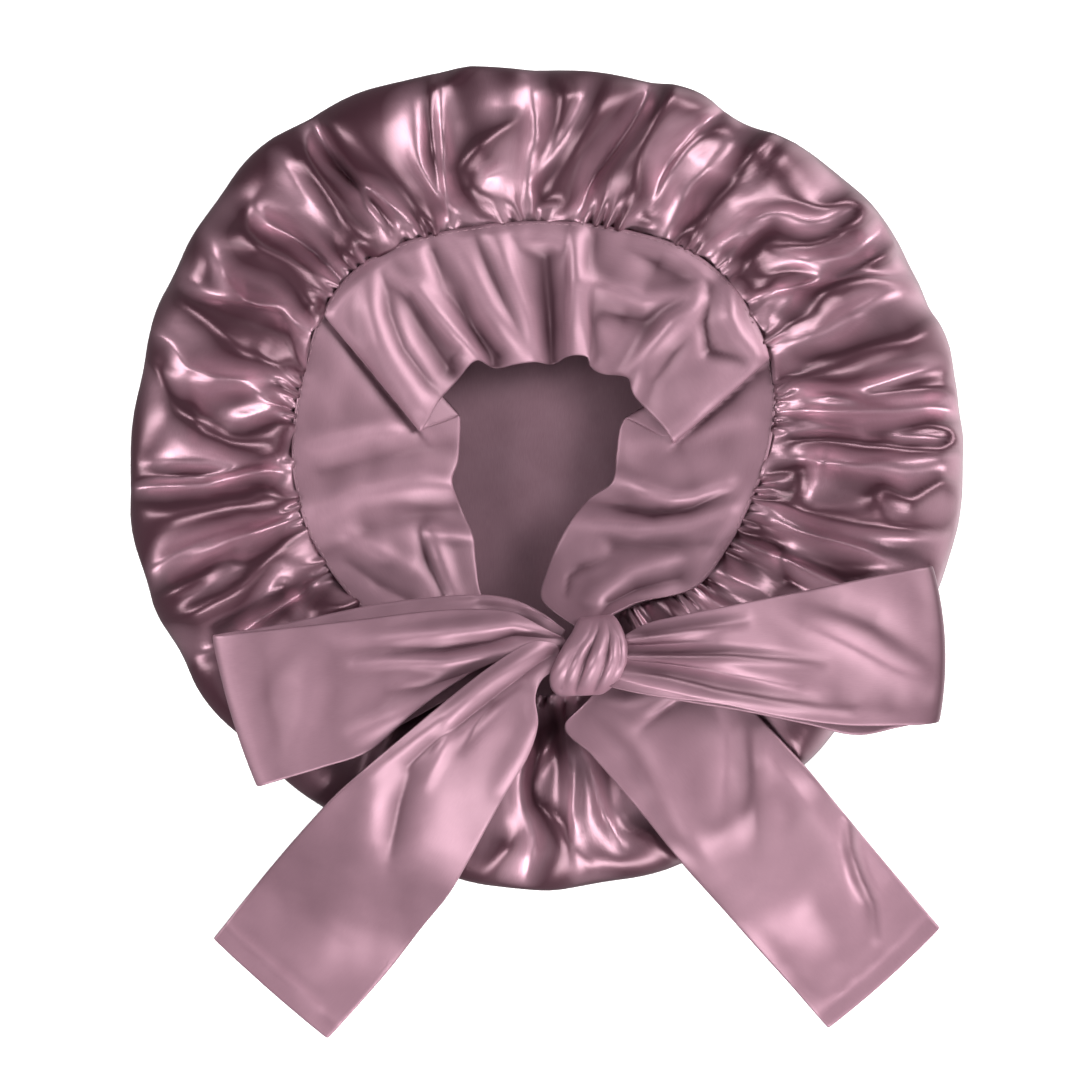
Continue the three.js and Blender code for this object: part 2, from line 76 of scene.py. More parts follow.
def smooth_at(rows, places, at):
    """The smooth curve that meets rows at places, read at other places."""
    rows, places = np.asarray(rows, float), np.asarray(places, float)
    step = np.diff(places).reshape((-1,) + (1,) * (rows.ndim - 1))
    slope = np.diff(rows, axis=0) / step
    tangent = np.concatenate([slope[:1], (slope[1:] + slope[:-1]) / 2, slope[-1:]])
    i = np.clip(np.searchsorted(places, at, side="right") - 1, 0, len(places) - 2)
    h = step[i]
    u = ((at - places[i]) / (places[i + 1] - places[i])).reshape(h.shape)
    near = (2 * u**3 - 3 * u**2 + 1) * rows[i] + (u**3 - 2 * u**2 + u) * h * tangent[i]
    return near + (3 * u**2 - 2 * u**3) * rows[i + 1] + (u**3 - u**2) * h * tangent[i + 1]


def lengths(points):
    """How far along a line of points each one lies."""
    steps = np.linalg.norm(np.diff(points, axis=0), axis=-1)
    return np.concatenate([[0], np.cumsum(steps)])


def ease(x):
    """0 below 0, 1 above 1, and a smooth step between."""
    x = np.clip(x, 0, 1)
    return x * x * (3 - 2 * x)


def cloth_mesh(name, points):
    """A mesh of quads through rows of points, with a UV map in metres along the cloth."""
    rows, across = points.shape[:2]
    index = np.arange(rows * across).reshape(rows, across)
    quads = np.stack([index[:-1, :-1], index[1:, :-1], index[1:, 1:], index[:-1, 1:]], -1)
    mesh = bpy.data.meshes.new(name)
    mesh.from_pydata(points.reshape(-1, 3).tolist(), [], quads.reshape(-1, 4).tolist())
    down = np.repeat(lengths(points[:, across // 2])[:, None], across, axis=1)
    over = np.repeat(lengths(points[rows // 2])[None], rows, axis=0)
    lay_flat(mesh, np.stack([over, down], -1).reshape(-1, 2))
    smooth_shade(mesh)
    return mesh


def lay_flat(mesh, flat):
    """Gives a cloth its UV map: where each vertex lies on the flat cut, in metres."""
    corners = np.array([loop.vertex_index for loop in mesh.loops])
    uv = mesh.uv_layers.new(name="cloth")
    uv.data.foreach_set("uv", flat[corners].ravel())


def smooth_shade(mesh):
    mesh.polygons.foreach_set("use_smooth", [True] * len(mesh.polygons))


def vertices(mesh):
    return np.array([v.co for v in mesh.vertices])


def move_vertices(mesh, points):
    mesh.vertices.foreach_set("co", points.ravel())
    mesh.update()


def edge_ends(mesh):
    return np.array([edge.vertices for edge in mesh.edges])


def neighbour_mean(values, edges):
    """The mean of the rows of values at each vertex's neighbours."""
    count = np.bincount(edges.ravel(), minlength=len(values))
    start, end = edges.T
    total = [
        np.bincount(start, column[end], len(values)) + np.bincount(end, column[start], len(values))
        for column in values.T
    ]
    return (np.array(total) / count).T


def smoothed(points, edges, steps, share=1.0):
    """Points moved towards the middle of their neighbours, by that share of the way at each step."""
    for _ in range(steps):
        points = points + share * (neighbour_mean(points, edges) - points)
    return points


def mark_crease_shade(mesh, steps, depth):
    """Notes on each vertex how far it lies down in a crease of the cloth, for the satin's painted
    shade:
    0 on a ridge, 0.5 where the cloth is even, and 1 where it is depth metres down in a crease."""
    points = vertices(mesh)
    normals = np.array([v.normal for v in mesh.vertices])
    sunk = ((smoothed(points, edge_ends(mesh), steps) - points) * normals).sum(axis=1)
    # Painted shade: the satin darkens its colour by this value, most deep in a crease.
    crease_shade = mesh.attributes.new("crease_shade", "FLOAT", "POINT")
    crease_shade.data.foreach_set("value", np.clip(0.5 + 0.5 * sunk / depth, 0, 1))


def add_object(name, mesh):
    thing = bpy.data.objects.new(name, mesh)
    bpy.context.scene.collection.objects.link(thing)
    return thing


def plain_mesh(thing):
    """The mesh that an object's modifiers make. The object itself goes."""
    made = thing.evaluated_get(bpy.context.evaluated_depsgraph_get())
    mesh = bpy.data.meshes.new_from_object(made)
    bpy.data.objects.remove(thing)
    return mesh


def add_piece(name, mesh, material, stands_for):
    """Puts a finished mesh in the scene as a piece of the bonnet."""
    piece = add_object(name, mesh)
    mesh.materials.clear()
    mesh.materials.append(material)
    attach(piece, BODY)
    if stands_for:
        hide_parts(*stands_for)
    return piece


def give_thickness(piece, thickness):
    """Makes a sheet a cloth of this thickness, half of it on each side."""
    shell = piece.modifiers.new("cloth thickness", "SOLIDIFY")
    shell.thickness = thickness
    shell.offset = 0
    return shell


# ---------------------------------------------------------------- materials

# What the thread that floats on the face of the cloth is like.
THREADS_PER_METRE = 2600
FLOAT_SHARE = 0.09  # a thread's width as a share of the length that floats
THREAD_RELIEF = 0.0002
SPECKLE = 0.06  # how far the roughness varies to each side


def set_inputs(tree, node, inputs):
    """Gives each of these inputs of a node its value, or links it to the socket given."""
    for name, value in inputs.items():
        if isinstance(value, bpy.types.NodeSocket):
            tree.links.new(value, node.inputs[name])
        else:
            node.inputs[name].default_value = value


def add_node(tree, kind, inputs=None, **settings):
    """A new node in a tree, with its settings made and then its inputs."""
    node = tree.nodes.new(kind)
    for name, value in settings.items():
        setattr(node, name, value)
    set_inputs(tree, node, inputs or {})
    return node


def add_sockets(tree, in_out, kind, labels):
    """Named sockets of one kind for a node group, each with its own value if labels holds values."""
    for label in labels:
        socket = tree.interface.new_socket(label, in_out=in_out, socket_type="NodeSocket" + kind)
        if isinstance(labels, dict):
            socket.default_value = labels[label]


def weave_group():
    """Fine threads over a cloth's own UV map: their height, and how much they break up the gloss."""
    group = bpy.data.node_groups.new("satin weave", "ShaderNodeTree")
    add_sockets(group, "INPUT", "Float", {"Threads per metre": THREADS_PER_METRE, "Slub": 0.4})
    add_sockets(group, "OUTPUT", "Float", ["Height", "Variation"])
    given = add_node(group, "NodeGroupInput")
    cloth = add_node(group, "ShaderNodeUVMap", uv_map="cloth")
    drawn_out = {0: cloth.outputs["UV"], 1: (1, FLOAT_SHARE, 1)}
    place = add_node(group, "ShaderNodeVectorMath", drawn_out, operation="MULTIPLY")
    threads = {
        "Vector": place.outputs["Vector"],
        "Scale": given.outputs["Threads per metre"],
        "Detail": 1,
    }
    floats = add_node(group, "ShaderNodeTexNoise", threads)
    slubs = {"Vector": cloth.outputs["UV"], "Scale": 60, "Detail": 3}
    mottle = add_node(group, "ShaderNodeTexNoise", slubs)
    both = {
        "Factor": given.outputs["Slub"],
        "A": mottle.outputs["Fac"],
        "B": floats.outputs["Fac"],
    }
    mixed = add_node(group, "ShaderNodeMix", both)
    result = {"Height": floats.outputs["Fac"], "Variation": mixed.outputs["Result"]}
    add_node(group, "NodeGroupOutput", result)
    return group


def crinkle_group():
    """Fine creases that run in from the gathered edge of a round cloth, over its own UV map."""
    group = bpy.data.node_groups.new("gather crinkles", "ShaderNodeTree")
    sizes = {"Creases round": 22, "Creases in": 28, "Inner radius": 0.17, "Outer radius": 0.28}
    add_sockets(group, "INPUT", "Float", sizes)
    add_sockets(group, "OUTPUT", "Float", ["Height"])
    given = add_node(group, "NodeGroupInput")
    cloth = add_node(group, "ShaderNodeUVMap", uv_map="cloth")
    over = {0: cloth.outputs["UV"]}
    radius = add_node(group, "ShaderNodeVectorMath", over, operation="LENGTH")
    way = add_node(group, "ShaderNodeVectorMath", over, operation="NORMALIZE")
    turned = {0: way.outputs["Vector"], "Scale": given.outputs["Creases round"]}
    round_it = add_node(group, "ShaderNodeVectorMath", turned, operation="SCALE")
    crossed = {0: radius.outputs["Value"], 1: given.outputs["Creases in"]}
    inward = add_node(group, "ShaderNodeMath", crossed, operation="MULTIPLY")
    upright = add_node(group, "ShaderNodeCombineXYZ", {"Z": inward.outputs["Value"]})
    both = {0: upright.outputs["Vector"], 1: round_it.outputs["Vector"]}
    spread = add_node(group, "ShaderNodeVectorMath", both, operation="ADD")
    soft = {"Vector": spread.outputs["Vector"], "Scale": 1, "Detail": 3, "Roughness": 0.45}
    creases = add_node(group, "ShaderNodeTexNoise", soft)
    reach = {
        "Value": radius.outputs["Value"],
        "From Min": given.outputs["Inner radius"],
        "From Max": given.outputs["Outer radius"],
    }
    near_edge = add_node(group, "ShaderNodeMapRange", reach, interpolation_type="SMOOTHSTEP")
    faded = {0: creases.outputs["Fac"], 1: near_edge.outputs["Result"]}
    height = add_node(group, "ShaderNodeMath", faded, operation="MULTIPLY")
    add_node(group, "NodeGroupOutput", {"Height": height.outputs["Value"]})
    return group


def new_material(name):
    """A material, its node tree and its shader."""
    material = bpy.data.materials.new(name)
    material.use_nodes = True
    return material, material.node_tree, material.node_tree.nodes["Principled BSDF"]


def satin(name, weave, deep, light, roughness, metallic, coat, bump, creases=None, crease_height=0):
    """A satin: glossy thread floats over a deeper ground. Its colour carries painted shade, darker
    where the cloth lies down in a crease.
    """
    material, tree, shader = new_material(name)
    threads = add_node(tree, "ShaderNodeGroup", node_tree=weave)
    colours = {"A": (*deep, 1), "B": (*light, 1), "Factor": threads.outputs["Variation"]}
    tint = add_node(tree, "ShaderNodeMix", colours, data_type="RGBA")
    # Painted shade: the colour turns to a deeper plum where a vertex lies down in a crease.
    crease_shade = add_node(tree, "ShaderNodeAttribute", attribute_name="crease_shade")
    depths = {"Value": crease_shade.outputs["Fac"], "From Min": 0.3, "From Max": 0.95}
    shade = add_node(tree, "ShaderNodeMapRange", depths)
    colours = {
        "A": tint.outputs["Result"],
        "B": (*(0.5 * part**1.5 for part in deep), 1),
        "Factor": shade.outputs["Result"],
    }
    shaded = add_node(tree, "ShaderNodeMix", colours, data_type="RGBA")
    speckle = {
        "Value": threads.outputs["Variation"],
        "To Min": roughness - SPECKLE,
        "To Max": roughness + SPECKLE,
    }
    gloss = add_node(tree, "ShaderNodeMapRange", speckle)
    raised = {"Strength": bump, "Distance": THREAD_RELIEF, "Height": threads.outputs["Height"]}
    relief = add_node(tree, "ShaderNodeBump", raised)
    if creases:
        folds = add_node(tree, "ShaderNodeGroup", node_tree=creases)
        raised = {"Distance": crease_height, "Height": folds.outputs["Height"]}
        crinkled = add_node(tree, "ShaderNodeBump", raised)
        set_inputs(tree, relief, {"Normal": crinkled.outputs["Normal"]})
    finish = {
        "Base Color": shaded.outputs["Result"],
        "Metallic": metallic,
        "Roughness": gloss.outputs["Result"],
        "IOR": 1.5,
        "Specular Tint": (1, 0.68, 0.78, 1),
        "Coat Weight": coat,
        "Coat Roughness": roughness - 0.08,
        "Coat IOR": 1.6,
        "Normal": relief.outputs["Normal"],
    }
    set_inputs(tree, shader, finish)
    return material


# ---------------------------------------------------------------- the crown

CLOTH_RADIUS = 0.2877  # of the flat round that the crown is cut from
CROWN_WALL = 0.0006
CROWN_COLUMNS = 384
# Rings of the cloth mesh, from the gathered edge in: until that radius, at that step, with the
# columns divided by share.
RINGS = (
    ("until", "step", "share"),
    (0.205, 0.0036, 1),
    (0.11, 0.0075, 2),
    (0.05, 0.014, 4),
    (0.012, 0.016, 8),
)
# A cut through the puffed crown, from the middle of the underside, round the rim, to the gathered
# edge: shares of the rim's and the gathered edge's distances, height as a share of the top, and the
# part of each fold's rise that shows there.
CROWN_SECTION = (
    ("rim", "seam", "height", "swell"),
    (0.00, 0.00, 0.02, 0.0),
    (0.80, 0.00, 0.02, 0.0),
    (0.90, 0.00, 0.05, 0.0),
    (0.97, 0.00, 0.16, 0.0),
    (1.00, 0.00, 0.38, 0.08),
    (0.99, 0.00, 0.62, 0.25),
    (0.935, 0.06, 0.82, 0.6),
    (0.80, 0.20, 0.93, 0.9),
    (0.60, 0.40, 0.98, 1.0),
    (0.38, 0.62, 0.99, 1.0),
    (0.18, 0.82, 0.96, 0.8),
    (0.00, 1.00, 0.86, 0.1),
)
# One row for each fold of the gathered top: the angles of the crease before it at the gathered edge
# and at the rim, how far the fold rises in millimetres, how deep the crease is as a share of what
# the cloth between the creases could fill, how far out it reaches, from 0 at the gathered edge to 1
# at the rim, and the small gathers that the fold starts from.
CROWN_FOLDS = (
    ("seam", "rim", "rise", "crease", "reach", "gathers"),
    (4, 0, 5, 0.8, 0.7, 3),
    (17, 13, 7, 1.0, 0.9, 4),
    (30, 24, 4, 0.5, 0.5, 2),
    (40, 31, 7, 1.2, 1.0, 4),
    (53, 46, 6, 1.0, 0.55, 3),
    (65, 61, 7, 0.9, 0.8, 4),
    (83, 75, 6, 1.0, 0.9, 3),
    (94, 90, 8, 0.7, 0.6, 3),
    (112, 108, 6, 1.1, 0.85, 2),
    (120, 124, 8, 1.3, 1.1, 4),
    (135, 140, 5, 0.9, 0.55, 3),
    (147, 152, 7, 1.2, 0.7, 4),
    (165, 165, 5, 0.8, 0.8, 3),
    (177, 181, 7, 1.2, 1.0, 3),
    (189, 195, 7, 1.0, 0.85, 4),
    (204, 206, 6, 1.2, 0.9, 4),
    (221, 222, 5, 0.9, 0.7, 4),
    (240, 238, 6, 0.8, 0.6, 3),
    (254, 252, 7, 1.0, 0.8, 3),
    (265, 265, 5, 0.9, 0.5, 2),
    (275, 277, 7, 1.1, 0.9, 3),
    (288, 291, 6, 1.0, 0.6, 4),
    (304, 306, 5, 0.8, 0.7, 4),
    (323, 322, 5, 0.8, 0.6, 4),
    (341, 337, 5, 1.1, 0.9, 2),
    (351, 347, 5, 0.9, 0.55, 3),
)
CREASE_WIDTH = 0.0035
DEEPEST_CREASE = 0.013
GATHER_RISE = 0.003
GATHER_REACH = 0.3  # of the way out to the rim
BUNCHED = 0.16  # how unevenly the small gathers lie in a fold, as a share of it
CREASE_TAPER = 0.3  # of the way out, over which a crease ends
WANDER = 1.6  # degrees
UNEVEN = 0.3
FLOOR_GAP = 0.0006
PLACES_IN_FOLD = 49  # where a fold's length is measured
SETTLE_FRAMES = 26
UNDER_BOW_GAP = 0.0015
UNDER_BOW_STEPS = 6
PRESSED_ABOVE = 0.02  # the bow presses only what is higher than this
FOLD_START = 0.006  # from the seam to where the folds have their whole height
FOLD_FOOT = 0.014  # how low on the side they reach
FOLD_FADE = 0.014
RELAX = 0.8  # of the way to the middle of its neighbours, each step
RELAX_FADE = 0.016
RELAX_STEPS = 24
SOFTEN = 0.5
SOFTEN_STEPS = 2
# How deep a crease of the crown is where its painted shade is darkest, and the smoothing steps that
# measure it.
CROWN_SHADE_DEPTH = 0.0026
CROWN_SHADE_STEPS = 40
# How far the front of the gathered edge is drawn in and down, and how far from the edge the cloth
# follows it.
FRONT_DRAWN_IN = (
    ("angle", "inward", "down"),
    (252, 0, 0),
    (258, 4, 6),
    (264, 8, 15),
    (274, 11, 20),
    (284, 14, 18),
    (291, 24, 9),
    (297, 31, 2),
    (305, 26, 0),
    (314, 14, 0),
    (322, 5, 0),
    (332, 0, 0),
)
FRONT_REACH = 0.045
DOWN_REACH = 0.022


def crown_outline():
    """The distances from the middle to the crown's gathered edge and to its rim, and how high it
    stands between them, a value for each degree, read off the frame's crown."""
    points = vertices(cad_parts["crown"].data)
    angle = np.degrees(np.arctan2(points[:, 1], points[:, 0])) % 360
    radius = np.hypot(points[:, 0], points[:, 1])
    upper = points[:, 2] > 0.6 * points[:, 2].max()
    outline = []
    for degree in range(360):
        near = np.abs((angle - degree + 180) % 360 - 180) < 5
        seam = radius[near & upper].min()
        rim = radius[near].max()
        between = near & upper & (np.abs(radius - (seam + rim) / 2) < 0.012)
        outline.append((seam, rim, points[between, 2].mean()))
    spread = np.hanning(17)
    rounded = [
        np.convolve(np.concatenate([column[-8:], column, column[:8]]), spread / spread.sum(), "valid")
        for column in np.array(outline).T
    ]
    return np.array(rounded)


def round_the_crown(column, angle):
    """A column of the outline read at these angles in degrees."""
    return np.interp(angle % 360, np.arange(361), np.append(column, column[0]))


def around(points):
    """The angle of each point in degrees, and how far it lies out from the gathered edge."""
    angle = np.degrees(np.arctan2(points[:, 1], points[:, 0])) % 360
    return angle, np.hypot(points[:, 0], points[:, 1]) - round_the_crown(crown_outline()[0], angle)


def cloth_rings():
    """The radius of each ring of the flat cloth, from the gathered edge in, and its columns."""
    rings, radius = [], CLOTH_RADIUS
    for until, step, share in RINGS[1:]:
        while radius > until:
            rings.append((radius, CROWN_COLUMNS // share))
            radius -= step
    return rings


def ring_shape(outline, here, after, out, spare, k, f):
    """Points of the puffed crown on one ring, at share f of the way over fold k. here and after are
    the section at the ring and a little further in, out is 0 at the gathered edge and 1 at the rim,
    and spare is how much longer the cloth is than the ring, as a share."""
    seam, rim, rise, depth, reach, gathers = columns(CROWN_FOLDS, *CROWN_FOLDS[0]).T
    rim = seam + (rim - seam + 180) % 360 - 180
    crease = seam + (rim - seam) * out
    # The creases wander a little, and the folds swell unevenly.
    chance = np.random.default_rng(11)
    phase, other, wave = chance.uniform(0, 2 * math.pi, (3, len(rise)))
    crease += WANDER * math.sin(math.pi * out) * np.sin(5 * out + phase)
    rise = rise * (1 + UNEVEN * np.sin((4 + wave / 2) * out + other)) * MM
    crease = np.append(crease, crease[0] + 360)
    width = np.diff(crease)
    angle = crease[k] + width[k] * f
    seam, rim, top = [round_the_crown(column, angle) for column in outline]
    distance = here[0] * rim + here[1] * seam
    height = here[2] * top
    way = np.stack([distance - after[0] * rim - after[1] * seam, height - after[2] * top])
    way /= np.linalg.norm(way, axis=0)
    gathered = GATHER_RISE * ease(1 - out / GATHER_REACH)
    wide = np.radians(width) * np.mean(distance)
    fill = np.clip(spare * wide - 3 * gathers * gathered, 0, 2 * DEEPEST_CREASE) / 2
    fill = depth * ease((reach + CREASE_TAPER - out) / CREASE_TAPER) * (fill + np.roll(fill, 1)) / 2
    fill = np.append(fill, fill[0])
    out_by = rise[k] * np.sin(math.pi * f) ** 0.7 - rise.mean() / 3
    for edge, away in ((k, f), (k + 1, 1 - f)):
        out_by = out_by - fill[edge] * np.exp(-((away * wide[k] / CREASE_WIDTH) ** 1.3))
    even, strength = other / (2 * math.pi), 0.6 + 0.9 * phase / (2 * math.pi)
    bunched = f + BUNCHED * np.sin(2 * math.pi * (f + even[k]))
    out_by = here[3] * out_by - gathered * strength[k] * np.cos(2 * math.pi * gathers[k] * bunched)
    distance = distance + way[1] * out_by
    height = np.maximum(height - way[0] * out_by, FLOOR_GAP)
    turn = np.radians(angle)
    return np.stack([distance * np.cos(turn), distance * np.sin(turn), height], -1)


def crown_start(rings):
    """The cloth before it settles, flat and puffed out. Its folds are shaped so that each ring of
    cloth has its own length in them."""
    outline = crown_outline()
    section = columns(CROWN_SECTION, *CROWN_SECTION[0])
    typical = section[:, 0:1] * outline[1].mean() + section[:, 1:2] * outline[0].mean()
    along = lengths(np.hstack([typical, section[:, 2:3] * outline[2].mean()]))
    along /= along[-1]
    marks = columns(CROWN_FOLDS, "seam")[:, 0]
    fold_ends = np.append(marks, marks[0] + 360)
    samples = np.linspace(0, 1, PLACES_IN_FOLD)
    flat, puffed = [], []
    for radius, count in rings:
        angle = 360 * np.arange(count) / count
        turn = np.radians(angle)
        flat += np.stack([radius * np.cos(turn), radius * np.sin(turn), 0 * turn], 1).tolist()
        share = radius / CLOTH_RADIUS
        here, after = smooth_at(section, along, np.array([share, max(share - 0.004, 0)]))
        distance = here[0] * outline[1].mean() + here[1] * outline[0].mean()
        gap = outline[1].mean() - outline[0].mean()
        over_top = share > along[4]
        out = float(np.clip((distance - outline[0].mean()) / gap, 0, 1)) if over_top else 1.0
        ring = (outline, here, after, out, max(radius / distance - 1, 0))
        each = np.repeat(np.arange(len(marks))[:, None], len(samples), axis=1)
        curve = ring_shape(*ring, each, np.broadcast_to(samples, each.shape))
        run = np.linalg.norm(np.diff(curve, axis=1), axis=-1).cumsum(axis=1)
        run = np.hstack([np.zeros((len(marks), 1)), run]) / run[:, -1:]
        cloth_angle = (angle - marks[0]) % 360 + marks[0]
        k = np.searchsorted(fold_ends, cloth_angle, side="right") - 1
        g = (cloth_angle - fold_ends[k]) / (fold_ends[k + 1] - fold_ends[k])
        f = np.array([np.interp(part, run[fold], samples) for part, fold in zip(g, k)])
        puffed += ring_shape(*ring, k, f).tolist()
    return flat + [(0, 0, 0)], puffed + [(0, 0, 0.001)]


def crown_faces(rings):
    """Quads between rings of equal length, triangles where the columns halve, and the middle."""
    faces, first = [], 0
    for (_, count), (_, inner) in zip(rings, rings[1:]):
        low = first + count
        for j in range(inner):
            k = (j + 1) % inner
            if count == inner:
                faces.append((first + j, low + j, low + k, first + k))
            else:
                a, m, b = first + 2 * j, first + 2 * j + 1, first + (2 * j + 2) % count
                faces += [(a, low + j, m), (m, low + j, low + k), (m, low + k, b)]
        first = low
    count = rings[-1][1]
    middle = first + count
    faces += [(first + j, middle, first + (j + 1) % count) for j in range(count)]
    return [face[::-1] for face in faces]


def crown_cloth():
    """The crown's cloth mesh, settled by simulation into gathers between the band and the rim."""
    rings = cloth_rings()
    flat, puffed = crown_start(rings)
    mesh = bpy.data.meshes.new("crown cloth")
    mesh.from_pydata(puffed, [], crown_faces(rings))
    lay_flat(mesh, np.array(flat)[:, :2])
    cloth = add_object("crown cloth", mesh)
    cloth.shape_key_add(name="puffed")
    cut = cloth.shape_key_add(name="flat cut")
    cut.data.foreach_set("co", np.array(flat, float).ravel())
    settle_crown(cloth, rings, cut)
    finer = cloth.modifiers.new("finer", "SUBSURF")
    finer.levels = finer.render_levels = 1
    return plain_mesh(cloth)


def settle_crown(cloth, rings, cut):
    """Runs the cloth: held at the gathered edge and the middle, puffed by air, on a floor."""
    held = cloth.vertex_groups.new(name="held")
    held.add(list(range(rings[0][1])), 1.0, "REPLACE")
    first = 0
    for radius, count in rings:
        if radius < 0.1:
            held.add(list(range(first, first + count)), 1.0, "REPLACE")
        first += count
    held.add([first], 1.0, "REPLACE")
    bpy.ops.mesh.primitive_plane_add(size=1, location=(0, 0, -0.001))
    ground = bpy.context.object
    ground.modifiers.new("ground", "COLLISION")
    ground.collision.thickness_outer = 0.001
    settle = cloth.modifiers.new("settle", "CLOTH")
    satin_cloth, contact = settle.settings, settle.collision_settings
    satin_cloth.quality = 6
    satin_cloth.mass = 0.02
    satin_cloth.tension_stiffness = satin_cloth.compression_stiffness = 30
    satin_cloth.shear_stiffness = 5
    satin_cloth.bending_stiffness = 1.0
    satin_cloth.air_damping = 1
    satin_cloth.use_pressure = True
    satin_cloth.uniform_pressure_force = 0.35
    satin_cloth.vertex_group_mass = "held"
    satin_cloth.rest_shape_key = cut
    satin_cloth.effector_weights.gravity = 0.2
    contact.distance_min = 0.001
    contact.use_self_collision = True
    contact.self_distance_min = 0.0012
    contact.self_friction = 2
    scene = bpy.context.scene
    scene.frame_start, scene.frame_end = 1, SETTLE_FRAMES
    settle.point_cache.frame_start, settle.point_cache.frame_end = 1, SETTLE_FRAMES
    for number in range(1, SETTLE_FRAMES + 1):
        scene.frame_set(number)
    bpy.data.objects.remove(ground)


def press_under_bow(mesh):
    """Lowers the crown where the bow and its tails lie on it."""
    trees = [
        BVHTree.FromPolygons(vertices(node.data), [tuple(p.vertices) for p in node.data.polygons])
        for name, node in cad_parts.items()
        if name.startswith("bow_")
    ]
    points = vertices(mesh)
    lower = np.zeros(len(points))
    for i, (x, y, z) in enumerate(points):
        if y > 0 or z < PRESSED_ABOVE:
            continue
        for tree in trees:
            hit = tree.ray_cast(Vector((x, y, -0.01)), Vector((0, 0, 1)))[0]
            if hit:
                lower[i] = max(lower[i], z - hit.z + UNDER_BOW_GAP)
    edges = edge_ends(mesh)
    deepest = lower.copy()
    for _ in range(UNDER_BOW_STEPS):
        lower = np.maximum(neighbour_mean(lower[:, None], edges)[:, 0], deepest)
    points[:, 2] -= lower
    move_vertices(mesh, points)


def draw_in_folds(mesh):
    """Raises the ridges and sinks the creases of the crown's upper side, less towards its seam,
    where the small gathers stay as they settled. Elsewhere the smallest wrinkles relax first."""
    points, edges = vertices(mesh), edge_ends(mesh)
    _, from_seam = around(points)
    relax = RELAX * ease((from_seam - FOLD_START) / RELAX_FADE)[:, None]
    points = smoothed(points, edges, RELAX_STEPS, relax)
    x, y, z = points.T
    clear = ease(from_seam / FOLD_START)
    points[:, 2] += clear * ease((z - FOLD_FOOT) / FOLD_FADE) * fold_heights("crown", x, y)
    move_vertices(mesh, smoothed(points, edges, SOFTEN_STEPS, SOFTEN * clear[:, None]))


def draw_in_front(mesh):
    """Draws the front of the gathered edge in, under the knot and to the collar's right end."""
    points = vertices(mesh)
    angle, from_seam = around(points)
    angles, inward, down = columns(FRONT_DRAWN_IN, *FRONT_DRAWN_IN[0]).T
    upper = points[:, 2] > FOLD_FOOT
    inward = np.interp(angle, angles, inward) * MM * upper * (1 - ease(from_seam / FRONT_REACH))
    down = np.interp(angle, angles, down) * MM * upper * (1 - ease(from_seam / DOWN_REACH))
    radius = np.maximum(np.hypot(points[:, 0], points[:, 1]), FRONT_REACH)
    points[:, :2] *= (1 - inward / radius)[:, None]
    points[:, 2] -= down
    move_vertices(mesh, points)


def make_crown(material):
    cloth = crown_cloth()
    draw_in_folds(cloth)
    draw_in_front(cloth)
    press_under_bow(cloth)
    # Painted shade in the crown's creases.
    mark_crease_shade(cloth, CROWN_SHADE_STEPS, CROWN_SHADE_DEPTH)
    smooth_shade(cloth)
    crown = add_piece("crown_satin", cloth, material, ["crown"])
    give_thickness(crown, CROWN_WALL)


# ---------------------------------------------------------------- the band

BAND_WALL = 0.0014
BAND_WIDTH = 0.068  # sewn, of the strip that makes the collar and the bow
BAND_STEP = 0.0018  # between the points of a band piece, before it is rounded
ACROSS = int(BAND_WIDTH / BAND_STEP)
KNOT_ACROSS = 34
SWELLS = (0.045, 0.031, 0.021, 0.014)  # how far apart the uneven swells of a piece are
# How high the swells are, and how deep a crease is where its painted shade is darkest.
COLLAR_RIPPLE, COLLAR_SHADE_DEPTH = 0.00025, 0.0016
LOOP_RIPPLE, LOOP_SHADE_DEPTH = 0.0002, 0.002
TAIL_RIPPLE, TAIL_SHADE_DEPTH = 0.00014, 0.0032
KNOT_SHADE_DEPTH = 0.0012
BAND_SHADE_STEPS = 16
SEAM_HEIGHT = 0.86  # of the crown's height, as its section's last row has it
TUCK = 0.006  # from the seam to where the collar has come up out of it
LAYER_END = 0.012  # from a loop's turn to where its layer's folds have their whole height

